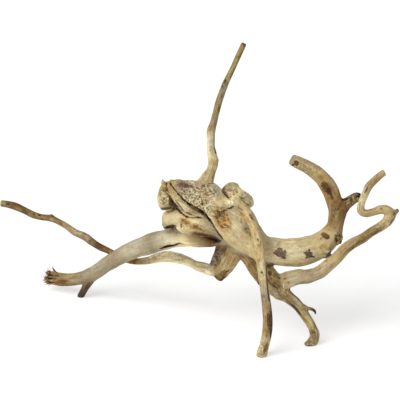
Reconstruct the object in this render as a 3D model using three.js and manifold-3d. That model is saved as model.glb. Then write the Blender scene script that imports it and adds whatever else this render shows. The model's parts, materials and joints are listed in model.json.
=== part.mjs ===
// A spiderwood root: one bare, dried tangle of root wood, as used to furnish an aquarium.
// Roots grow out of a knotted core, and the piece stands on the ends of three of them.
// Millimetres, +Z up. +X is to the right and +Y to the back, seen from the front.
import {
  BoxGeometry,
  BufferAttribute,
  BufferGeometry,
  CatmullRomCurve3,
  CylinderGeometry,
  Group,
  MathUtils,
  Mesh,
  MeshStandardMaterial,
  Vector3,
} from "three";
import { mergeVertices } from "three/addons/utils/BufferGeometryUtils.js";
import Module from "manifold-3d";

// The roots are laid out as they are seen from the front, a little from above. A point is given by
// its distance across and up on a plane that leans back, and by how far back it stands on the floor.
const LEAN = MathUtils.degToRad(20);
const EYE_DISTANCE = 2500;
const EYE_UP = 156;
// The middle of the whole piece on the floor, across and back, which becomes the origin.
const MIDDLE = { across: -3, back: 85 };

const WOOD = { color: 0xc9b48c, roughness: 0.85, metalness: 0 };

// Each root is a list of [across, up, back, half-width, half-depth] along its middle. The width is
// the one that shows from the front, and a point without a depth is as deep as it is wide.
const ROOTS = {
  // The thick stem: from the core to the right, then up and back over to its sawn end.
  stem: {
    sides: 13,
    step: 7.5,
    flute: 0.035,
    points: [
      [-20, 156, 54, 14],
      [-8, 150, 53, 18],
      [7, 144, 51, 21],
      [24, 136, 50, 21],
      [43, 122, 50, 18],
      [62, 107, 51, 14.5],
      [80, 104.3, 53, 13.8],
      [95, 103.7, 56, 14.8],
      [108, 106.2, 59, 14.4],
      [119.5, 111, 62, 12.8],
      [130.5, 120.6, 66, 10.8],
      [135.8, 133, 69, 8],
      [137, 145.3, 71, 8.4],
      [133, 158.3, 71, 8.2],
      [128.3, 169.7, 69, 8.3],
      [119.5, 180.5, 65, 7.3],
      [107.4, 189.1, 60, 6.3],
      [98, 193.7, 55, 6],
      [92.5, 196.3, 52, 5.4],
    ],
  },
  stemSpur: {
    sides: 11,
    step: 4.5,
    flute: 0.08,
    points: [
      [135, 134, 70, 6],
      [138.5, 143, 71, 7.6],
      [143, 149.8, 72, 7],
      [148.5, 154.4, 73, 5.3],
      [154, 157.3, 75, 4.3],
      [158, 158.8, 76, 3.7],
      [160.8, 158.7, 76.5, 3.2],
    ],
  },
  stemKnob: {
    sides: 9,
    step: 4,
    flute: 0.05,
    points: [
      [126, 119, 64, 6],
      [134, 117.5, 63, 6.4],
      [139, 117, 62, 5.2],
      [141.8, 116.6, 62, 3],
    ],
  },
  stemStub: {
    sides: 9,
    step: 6,
    flute: 0.04,
    points: [
      [110, 103, 55, 6],
      [120, 102.4, 52, 5],
      [130.8, 101.5, 50, 3.9],
    ],
  },
  // The long left arm, which reaches back to its splintered end.
  leftArm: {
    sides: 11,
    step: 8,
    flute: 0.05,
    points: [
      [27, 122, 54, 9],
      [15, 117, 55, 7],
      [3, 116, 57, 7.2],
      [-9, 117, 61, 7.4],
      [-22, 117.2, 67, 8.4],
      [-35, 116, 77, 9.8],
      [-50, 111.8, 91, 10.4],
      [-65, 106.8, 106, 9.2],
      [-79.6, 99.8, 121, 8.5],
      [-94.4, 90.6, 135, 7.6],
      [-106, 82.8, 146, 7],
      [-118, 78.4, 154, 6.2],
      [-130, 76.3, 161, 6.2],
      [-140, 76.8, 167, 6.6],
      [-149, 78.2, 172, 6.2],
    ],
  },
  leftFoot: {
    sides: 8,
    step: 6,
    flute: 0.03,
    points: [
      [-105, 84, 147, 6],
      [-110.6, 75.4, 150, 4.2],
      [-114.8, 68.2, 152, 3.5],
      [-118.9, 60.5, 156, 3.4],
      [-121.5, 55.5, 159, 3.4],
    ],
  },
  // Splinters and a curled fibre at the broken end of the left arm.
  splinterLow: {
    sides: 6,
    step: 3,
    flute: 0,
    points: [
      [-146, 75, 168, 3.2],
      [-152.5, 74.2, 171, 1.9],
      [-157.6, 73.6, 173, 0.6],
    ],
  },
  splinterMiddle: {
    sides: 6,
    step: 3,
    flute: 0,
    points: [
      [-149, 78.5, 170, 3.6],
      [-155, 77.8, 172, 1.8],
      [-159.4, 77, 174, 0.6],
    ],
  },
  splinterHigh: {
    sides: 6,
    step: 3,
    flute: 0,
    points: [
      [-147, 81.5, 172, 3.4],
      [-152.5, 83.6, 175, 2.2],
      [-156.4, 84.4, 177, 0.8],
    ],
  },
  curledFibre: {
    sides: 6,
    step: 2.5,
    flute: 0,
    points: [
      [-143, 81, 168, 2],
      [-145.4, 85, 167, 1.2],
      [-147.2, 88, 166, 0.9],
      [-147.8, 90.6, 165, 0.6],
    ],
  },
  // The stub under the core, and the thin root that leaves it for the far left, behind the arm.
  stub: {
    sides: 11,
    step: 5.5,
    flute: 0.07,
    points: [
      [43, 116, 62, 11],
      [36, 106.5, 69, 9.6],
      [30.5, 98.5, 76, 9],
      [26, 91, 83, 8.4],
      [22, 84, 89, 7.2],
      [19, 78.6, 93, 5.2],
    ],
  },
  stubFlange: {
    sides: 7,
    step: 6,
    flute: 0.05,
    points: [
      [27, 119, 62, 6],
      [20.5, 109, 74, 4.6],
      [16.5, 100, 85, 3.6],
      [12, 90, 96, 3.2],
    ],
  },
  thinRoot: {
    sides: 8,
    step: 8.5,
    flute: 0.05,
    points: [
      [24, 87, 90, 6],
      [12, 86, 96, 5.6],
      [3, 88.6, 101, 5.3],
      [-5.3, 91.2, 105, 4.5],
      [-13.2, 95, 109, 4.7],
      [-22.2, 97.8, 114, 5.3],
      [-32, 99.5, 119, 5.7],
      [-41.8, 98.2, 125, 5.1],
      [-52, 95.4, 131, 3.8],
      [-62, 94.6, 138, 3.4],
      [-72, 95.6, 145, 3],
      [-81.5, 99.5, 150, 3],
      [-90.5, 104.5, 153, 3.1],
      [-100.3, 109.2, 154, 3.6],
      [-109.3, 115.1, 154, 3.8],
      [-116.2, 119.8, 153, 3.8],
      [-125.1, 123.8, 152, 3.4],
      [-133.9, 130, 151, 3],
      [-142, 134.5, 150, 2.9],
      [-150, 137.9, 149, 3.3],
      [-158, 138.9, 148, 3.1],
      [-167, 141.4, 147, 3.5],
      [-175, 145.4, 146, 3.3],
      [-185, 149.8, 145, 3.6],
      [-193, 151.8, 144, 3.4],
      [-199.5, 152.7, 143, 3.2],
    ],
  },
  thinKnot: {
    sides: 7,
    step: 3,
    flute: 0,
    points: [
      [-109, 113.5, 154, 3],
      [-111.6, 118.4, 153, 2.6],
      [-113, 121.4, 152, 1.4],
    ],
  },
  farKnot: {
    sides: 7,
    step: 3,
    flute: 0,
    points: [
      [-148, 136, 149, 3],
      [-148.3, 139.4, 148, 2.4],
      [-148.6, 141, 147, 1.4],
    ],
  },
  // The front leg, a ridge over the core that runs down to the front foot.
  frontLeg: {
    sides: 10,
    step: 7,
    flute: 0.06,
    points: [
      [33, 155, 32, 4],
      [43, 147.5, 24, 5.3],
      [51, 134.5, 16, 6],
      [57, 118, 11, 5.5],
      [60, 101, 8, 4.9],
      [62.7, 81, 6, 4.6],
      [65, 62, 4, 4.5],
      [66.8, 48, 3, 4.9],
      [67.8, 36, 2, 5.1],
      [67.3, 24, 1, 5.2],
      [64.8, 12, 0, 5.1],
      [62.3, 3, 0, 5.4],
      [61.2, -4, 0, 5.4],
    ],
  },
  // The right leg, which starts behind the front leg and carries the right foot.
  rightLeg: {
    sides: 11,
    step: 6.5,
    flute: 0.05,
    points: [
      [46, 110, 52, 13],
      [54, 98.5, 47, 12],
      [62.3, 85.2, 43, 11.2],
      [71, 74.5, 40, 11],
      [80, 65.5, 37, 9],
      [90, 57.4, 35, 6],
      [99.3, 48.8, 33, 5.5],
      [106.3, 38.7, 31, 4.9],
      [112, 29.2, 30, 4.4],
      [114.7, 21, 30, 5.3],
      [113, 15, 29, 5.4],
      [109, 10.8, 28, 5],
      [107, 7.8, 27.5, 4.8],
    ],
  },
  legHook: {
    sides: 6,
    step: 3,
    flute: 0,
    points: [
      [103, 50, 33, 2.6],
      [107.5, 47.8, 32, 1.9],
      [112, 46.8, 32, 1.7],
      [114.8, 44.8, 32, 1.5],
      [115.8, 41.6, 32, 1],
    ],
  },
  legNub: {
    sides: 6,
    step: 3,
    flute: 0,
    points: [
      [63, 78, 34, 4],
      [60, 74, 31, 2.2],
      [58.3, 71.4, 30, 1.2],
    ],
  },
  // The crooked root to the far right, with a twig's stump at its outer bend.
  crookedRoot: {
    sides: 9,
    step: 6,
    flute: 0.05,
    points: [
      [76, 70, 39, 7],
      [87, 75.8, 38, 8.4],
      [97.1, 78.9, 38, 7.7],
      [107.1, 79.3, 39, 6.9],
      [118.1, 82.8, 40, 6.5],
      [127, 89.6, 42, 6.2],
      [136, 97.5, 44, 6],
      [145, 107, 47, 5.8],
      [153.3, 113, 51, 5.4],
      [162.4, 117.8, 56, 5],
      [172.3, 124.6, 61, 4.8],
      [182, 130.3, 66, 5.1],
      [188, 136, 69, 5.7],
      [190.5, 142, 71, 5.4],
      [186.3, 145.8, 71, 5.2],
      [181, 146.6, 70, 4.5],
      [173.3, 144, 68, 3.8],
      [165.5, 142.6, 66, 3.9],
      [161.2, 144.8, 65, 3.9],
      [161, 151, 65, 3.6],
      [165.3, 162.4, 66, 3.7],
      [168.8, 169.5, 67, 3.9],
      [174.5, 175.5, 69, 3.7],
      [181, 181.3, 71, 3.4],
      [184.8, 183.8, 72, 3.2],
    ],
  },
  crookedNub: {
    sides: 6,
    step: 3,
    flute: 0,
    points: [
      [190, 141, 71, 3],
      [194.5, 143.2, 72, 2.7],
      [198.3, 146.4, 72, 1.9],
    ],
  },
  // The upright twig on top.
  upright: {
    sides: 7,
    step: 8,
    flute: 0.04,
    points: [
      [2, 168, 44, 9],
      [7.5, 177.5, 41, 6.5],
      [11.3, 185.8, 39, 4.8],
      [13.2, 193, 38, 5.1],
      [12.6, 200, 38, 4.8],
      [11.1, 209, 38, 4.1],
      [10.9, 218, 39, 4.1],
      [11.2, 225, 39, 4.4],
      [13.7, 233.8, 40, 3.7],
      [16.1, 243.8, 41, 3.5],
      [19, 254.9, 42, 3.5],
      [22.9, 265.8, 43, 3.4],
      [27.3, 276.6, 45, 3.4],
      [32.4, 286.9, 47, 3],
      [37.6, 298.5, 49, 3],
      [43.6, 311.8, 51, 2.9],
    ],
  },
  uprightKnot: {
    sides: 7,
    step: 3,
    flute: 0,
    points: [
      [13, 194, 38, 4],
      [16.5, 196, 37, 2.8],
      [18.4, 197, 37, 1.6],
    ],
  },
  // The core: a rough cap, the broad flap below it, and what shows round their edges.
  cap: {
    sides: 14,
    step: 5,
    flute: 0.04,
    points: [
      [-31, 173.2, 27, 4, 5],
      [-23, 169, 28, 8, 8],
      [-10, 163.8, 29, 12, 11],
      [3, 159.5, 30, 15, 12],
      [12, 153.5, 29, 15.5, 12],
      [21, 144, 28, 12, 10],
    ],
  },
  flap: {
    sides: 14,
    step: 6,
    flute: 0.04,
    points: [
      [22, 151, 32, 17, 12],
      [32, 139, 28, 17, 10],
      [41, 127, 23, 15, 8],
      [49, 116, 18, 11, 7],
      [56, 106, 13, 6.5, 6],
      [60, 97, 9, 4.6, 4.6],
    ],
  },
  capCorner: {
    sides: 11,
    step: 5,
    flute: 0.05,
    points: [
      [0, 163, 36, 9],
      [9, 163.5, 34, 10.5],
      [14, 160, 32, 10],
      [17, 153, 31, 7],
    ],
  },
  ledge: {
    sides: 9,
    step: 4,
    flute: 0.05,
    points: [
      [8, 156, 25, 8, 6],
      [18, 154.5, 19, 6, 4.5],
      [27, 153.6, 15, 4.2, 3],
      [33, 153.8, 13, 2.6, 1.9],
      [36, 154, 13, 1.4, 1.2],
    ],
  },
  strip: {
    sides: 9,
    step: 4.5,
    flute: 0.05,
    points: [
      [-31, 173, 27, 2.6],
      [-27, 164.5, 24, 3.4],
      [-22.5, 156, 22, 3.6],
      [-16, 148.5, 22, 3.8],
      [-8, 142.8, 23, 3.8],
      [0, 140, 27, 3.2],
    ],
  },
  lobe: {
    sides: 12,
    step: 4.5,
    flute: 0.08,
    points: [
      [-30.5, 174, 37, 4],
      [-33, 166, 37, 7.6],
      [-34, 157, 39, 8.6],
      [-33, 149.5, 43, 7.4],
    ],
  },
  lobeEdge: {
    sides: 8,
    step: 4,
    flute: 0.05,
    points: [
      [-38, 160, 34, 3.4],
      [-36, 153, 34, 4],
      [-33, 147.5, 37, 3.6],
      [-27, 146.5, 38, 3],
    ],
  },
  lobeSpike: {
    sides: 6,
    step: 2.5,
    flute: 0,
    points: [
      [-34, 168, 33, 5],
      [-36.6, 173, 32, 2.2],
      [-37.9, 177.3, 32, 0.6],
    ],
  },
  knee: {
    sides: 12,
    step: 5,
    flute: 0.05,
    points: [
      [-31, 120, 76, 3.4],
      [-31.5, 126.5, 68, 3.6],
      [-33, 133.5, 54, 5],
      [-30, 138, 48, 8],
      [-21, 139.2, 45, 8.6],
      [-11, 137, 44, 8],
      [0, 133, 46, 7],
    ],
  },
  bar: {
    sides: 11,
    step: 5,
    flute: 0.05,
    points: [
      [-20.5, 129.5, 44, 4, 6],
      [-15.5, 129.8, 40, 7.4, 7],
      [-8, 129, 37, 8, 7],
      [1, 126, 37, 7, 7],
      [11, 121.5, 39, 5.6, 6],
      [20, 117, 44, 4],
    ],
  },
  crownLeft: {
    sides: 11,
    step: 4.5,
    flute: 0.06,
    points: [
      [22, 154, 48, 6],
      [27, 161, 46, 7.8],
      [32, 165.5, 46, 8],
      [38, 166, 47, 6.4],
    ],
  },
  crownRight: {
    sides: 11,
    step: 4.5,
    flute: 0.06,
    points: [
      [33, 157, 46, 7],
      [40, 157.6, 43, 8.4],
      [45, 154, 41, 8.2],
      [48.5, 148, 40, 6.5],
    ],
  },
  crownBridge: {
    sides: 9,
    step: 5,
    flute: 0.05,
    points: [
      [27, 158, 44, 6],
      [34, 161, 41, 7],
      [40, 158, 39, 7],
      [44, 152, 38, 6],
    ],
  },
  // Wood behind the knee, which closes the slot under it.
  web: {
    sides: 9,
    step: 6,
    flute: 0.04,
    points: [
      [-32, 124, 76, 5],
      [-21, 129, 68, 7.5],
      [-6, 132, 62, 9],
      [8, 131, 58, 10],
    ],
  },
  // The back of the core, rounder and plainer than its front, and a ridge that crosses it.
  backRidge: {
    sides: 8,
    step: 7,
    flute: 0.06,
    points: [
      [-44, 115, 98, 5],
      [-26, 123, 88, 7],
      [-6, 132, 83, 8.5],
      [18, 140, 82, 9],
      [40, 134, 76, 8],
      [58, 117, 66, 8],
      [74, 108, 59, 7],
    ],
  },
  burl: {
    sides: 10,
    step: 8,
    flute: 0.07,
    points: [
      [-32, 158, 50, 8],
      [-18, 154, 60, 13],
      [4, 148, 70, 16],
      [24, 141, 69, 17],
      [42, 132, 66, 13],
    ],
  },
};

// Hollows, laid out like the roots: cracks, slots and the dimple in the flap.
const HOLLOWS = {
  crack: {
    sides: 8,
    step: 5,
    flute: 0,
    points: [
      [-32.5, 177.5, 22, 0.5, 7],
      [-27.5, 170, 20, 0.7, 8],
      [-22, 162.8, 18, 0.8, 9],
      [-15.5, 155.8, 17, 0.9, 10],
      [-8, 150.3, 17, 1.3, 11],
      [0, 144.8, 18, 2.4, 13],
      [7, 139, 20, 1.9, 14],
      [13, 132, 24, 1.0, 14],
      [20, 122.5, 28, 0.7, 14],
      [26, 114.5, 30, 0.5, 12],
    ],
  },
  // The shade under the ledge, the slot under the knee and the slit along the arm.
  ledgeShade: {
    sides: 6,
    step: 4,
    flute: 0,
    points: [
      [19, 143, 19, 0.6, 6],
      [25, 146, 16, 1.7, 8],
      [31, 148.6, 13, 1.7, 8],
      [36, 151, 12, 0.6, 5],
    ],
  },
  kneeSlot: {
    sides: 6,
    step: 5,
    flute: 0,
    points: [
      [-37, 129.6, 48, 1.3, 9],
      [-31, 129, 48, 1.7, 12],
      [-24, 129.2, 46, 1.1, 9],
      [-20.5, 130, 44, 0.5, 4],
    ],
  },
  armSlit: {
    sides: 6,
    step: 5,
    flute: 0,
    points: [
      [-40, 108, 72, 0.4, 5],
      [-33, 109.6, 62, 1.1, 7],
      [-26, 110.2, 58, 0.9, 6],
      [-20, 111.4, 54, 0.8, 5],
      [-14, 111.6, 52, 0.4, 4],
    ],
  },
  dimple: {
    sides: 9,
    step: 4,
    flute: 0,
    points: [
      [41, 142, 14, 1.5, 3],
      [44, 135, 9, 4.6, 6.5],
      [46.5, 127, 6, 5, 7],
      [50, 119, 5, 2.5, 4],
    ],
  },
};

const FLOOR = { width: 700, thickness: 40 };

const wasm = await Module();
wasm.setup();

const onPlane = (across, up) =>
  new Vector3(across, up * Math.sin(LEAN), up * Math.cos(LEAN));

const eye = onPlane(0, EYE_UP).add(
  new Vector3(0, -Math.cos(LEAN), Math.sin(LEAN)).multiplyScalar(EYE_DISTANCE),
);

// The share of the way from the eye through a point of the plane at which the sight line is `back`.
const reach = (seen, back) => (back - eye.y) / (seen.y - eye.y);

function place([across, up, back]) {
  const seen = onPlane(across, up);
  const share = reach(seen, back);
  const point = eye.clone().lerp(seen, share);
  return { point: point.sub(new Vector3(MIDDLE.across, MIDDLE.back, 0)), scale: share };
}

// A value along a list of them, eased from each to the next.
function along(values, t) {
  const step = t * (values.length - 1);
  const from = Math.min(Math.floor(step), values.length - 2);
  const share = MathUtils.smoothstep(step - from, 0, 1);
  return MathUtils.lerp(values[from], values[from + 1], share);
}

// A closed geometry whose shared vertices are merged, as a solid that can be joined and cut.
function solidOf(geometry) {
  geometry.deleteAttribute("normal");
  geometry.deleteAttribute("uv");
  const merged = mergeVertices(geometry, 1e-4);
  return new wasm.Manifold(
    new wasm.Mesh({
      numProp: 3,
      vertProperties: merged.attributes.position.array,
      triVerts: new Uint32Array(merged.index.array),
    }),
  );
}

// A cylinder bent along a root's middle, with its width and depth eased from point to point. Two
// waves round it, which turn slowly along it, make the soft ridges that root wood has.
function rootSolid({ points, sides, step, flute }) {
  const placed = points.map(place);
  const curve = new CatmullRomCurve3(placed.map((p) => p.point), false, "centripetal");
  const widths = points.map((p, i) => p[3] * placed[i].scale);
  const depths = points.map((p, i) => (p[4] ?? p[3]) * placed[i].scale);
  const rings = Math.max(3, Math.round(curve.getLength() / step));
  const geometry = new CylinderGeometry(1, 1, 1, sides, rings);
  const position = geometry.attributes.position;
  const sight = new Vector3(0, Math.cos(LEAN), -Math.sin(LEAN));
  for (let i = 0; i < position.count; i++) {
    const ring = Math.round((position.getY(i) + 0.5) * rings);
    const t = curve.getUtoTmapping(ring / rings);
    const middle = curve.getPoint(t);
    const ahead = curve.getTangent(t);
    const side = new Vector3().crossVectors(ahead, sight).normalize();
    const deep = new Vector3().crossVectors(side, ahead);
    const x = position.getX(i);
    const z = position.getZ(i);
    const angle = Math.atan2(z, x);
    const turn = 0.025 * ring * step;
    const wave = 0.6 * Math.cos(2 * angle + turn) + 0.4 * Math.cos(5 * angle - turn);
    const relief = 1 + flute * wave;
    middle.addScaledVector(side, x * along(widths, t) * relief);
    middle.addScaledVector(deep, z * along(depths, t) * relief);
    position.setXYZ(i, middle.x, middle.y, middle.z);
  }
  return solidOf(geometry);
}

function floorSolid() {
  const { width, thickness } = FLOOR;
  return solidOf(new BoxGeometry(width, width, thickness).translate(0, 0, -thickness / 2));
}

// All roots fused into one body, less the hollows and what would stand below the floor.
function spiderwood() {
  let wood = wasm.Manifold.union(Object.values(ROOTS).map(rootSolid));
  for (const hollow of Object.values(HOLLOWS)) wood = wood.subtract(rootSolid(hollow));
  wood = wood.subtract(floorSolid());
  const bodies = wood.decompose().sort((a, b) => b.volume() - a.volume());
  return bodies[0];
}

function geometryOf(solid) {
  const mesh = solid.getMesh();
  const geometry = new BufferGeometry();
  geometry.setAttribute("position", new BufferAttribute(mesh.vertProperties, 3));
  geometry.setIndex(new BufferAttribute(mesh.triVerts, 1));
  geometry.computeVertexNormals();
  return geometry;
}

const root = new Mesh(geometryOf(spiderwood()), new MeshStandardMaterial(WOOD));
root.name = "spiderwood_root";

const part = new Group();
part.add(root);

export default part;
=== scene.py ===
import json
import math

import bpy
import numpy as np
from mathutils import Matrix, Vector

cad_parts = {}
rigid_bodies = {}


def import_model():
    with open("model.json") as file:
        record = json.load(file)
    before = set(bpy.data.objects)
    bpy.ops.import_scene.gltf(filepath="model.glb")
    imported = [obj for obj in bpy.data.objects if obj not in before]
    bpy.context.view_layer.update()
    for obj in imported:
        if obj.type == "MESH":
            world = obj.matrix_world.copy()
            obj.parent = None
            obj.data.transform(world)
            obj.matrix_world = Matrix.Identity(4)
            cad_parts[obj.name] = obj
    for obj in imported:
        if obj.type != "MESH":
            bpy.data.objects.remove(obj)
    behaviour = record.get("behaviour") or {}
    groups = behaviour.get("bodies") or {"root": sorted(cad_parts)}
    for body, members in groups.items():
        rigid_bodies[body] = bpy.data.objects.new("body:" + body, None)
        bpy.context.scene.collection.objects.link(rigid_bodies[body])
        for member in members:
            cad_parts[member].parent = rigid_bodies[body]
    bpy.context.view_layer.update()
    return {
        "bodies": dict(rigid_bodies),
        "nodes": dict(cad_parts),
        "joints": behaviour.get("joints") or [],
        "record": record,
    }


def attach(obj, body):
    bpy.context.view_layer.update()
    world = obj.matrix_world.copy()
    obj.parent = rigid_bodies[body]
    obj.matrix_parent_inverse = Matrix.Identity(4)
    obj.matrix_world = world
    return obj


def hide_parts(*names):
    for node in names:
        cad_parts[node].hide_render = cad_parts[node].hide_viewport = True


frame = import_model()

# A spiderwood root. Its fine surface is grown from the same roots as the solid, which are laid out
# in millimetres as they are seen from the front, and is then finished with grain, scars and cracks.
MM = 0.001
# How far the plane that the roots are laid out on leans back, and where the eye stands: its
# height on that plane and its distance.
LEAN = math.radians(20)
EYE_UP = 156
EYE_DISTANCE = 2500
# The laid-out place that is the origin of the part's own frame.
MIDDLE = np.array([-3.0, 85.0, 0.0])
# The spacing of the grid that the surface is drawn from, and how far round it distances are kept.
CELL = 1.2
BAND = 6.0
# The height up to which the feet stay flat.
FLAT_FOOT = 0.6
SEED = 7

# Where stains, rough patches and cut ends fade out, how strong a mark is where its dent is full,
# and how far the wood may turn from the front before it is its far side.
STAIN_EDGE = (0.3, 1.25)
ROUGH_EDGE = (0.6, 1.15)
CUT_EDGE = (-1.5, -0.4)
DENT_EDGE = (0.25, 0.6)
FRONT_EDGE = (-0.15, 0.1)
FAR_ROUGHNESS = 0.35
# Relief in millimetres: grooves along the grain with their length and width, waves, and pits in
# patches. Roots with a smaller half-width than FULL_RELIEF have less of it.
GROOVE_DEPTH = 0.9
GROOVE = (22, 3.2)
WAVE_DEPTH = 1.1
WAVE = 8
PIT = 2.6
PIT_EDGE = (0.60, 0.85)
PIT_PATCH = 9
FULL_RELIEF = 12
# How far above the surface other wood makes a point count as closed-in, where shade is painted
# into the wood's colour.
CREVICE_SHADE_REACH = (1.5, 4.0)

# The studio: lens and sensor width in millimetres, how far the camera sees in metres, the sun's
# way, strength and spread in degrees, the strength of the sky and of the floor's own glow, and
# half the floor's width in metres.
LENS = 225
SENSOR = 36
CLIP_END = 30
SUN_WAY = (0.56, 0.56, -0.78)
SUN_STRENGTH = 2.7
SUN_SOFTNESS = 40
SKY_STRENGTH = 0.38
FLOOR_GLOW = 0.55
FLOOR_HALF_SIZE = 4

# Colours of bare dry wood, from pale sapwood to bark.
PALEST = (1.0, 0.92, 0.60)
IVORY = (0.92, 0.80, 0.48)
PALE = (0.75, 0.65, 0.40)
CREAM = (0.64, 0.54, 0.31)
SAND = (0.56, 0.445, 0.235)
TAN = (0.47, 0.35, 0.165)
ASH = (0.55, 0.50, 0.36)
GREY = (0.48, 0.43, 0.31)
DUSK = (0.37, 0.31, 0.20)
DRAB = (0.30, 0.25, 0.16)
OLIVE = (0.34, 0.28, 0.12)
OCHRE = (0.50, 0.31, 0.10)
UMBER = (0.33, 0.23, 0.10)
PINK = (0.52, 0.38, 0.27)
ROSE = (0.36, 0.22, 0.16)
EARTH = (0.26, 0.16, 0.055)
BROWN = (0.22, 0.13, 0.06)
RUST = (0.20, 0.088, 0.032)
COCOA = (0.14, 0.072, 0.024)
PLUM = (0.19, 0.11, 0.09)
MAROON = (0.11, 0.042, 0.022)
SOOT = (0.13, 0.085, 0.04)
BARK = (0.07, 0.048, 0.032)

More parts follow.
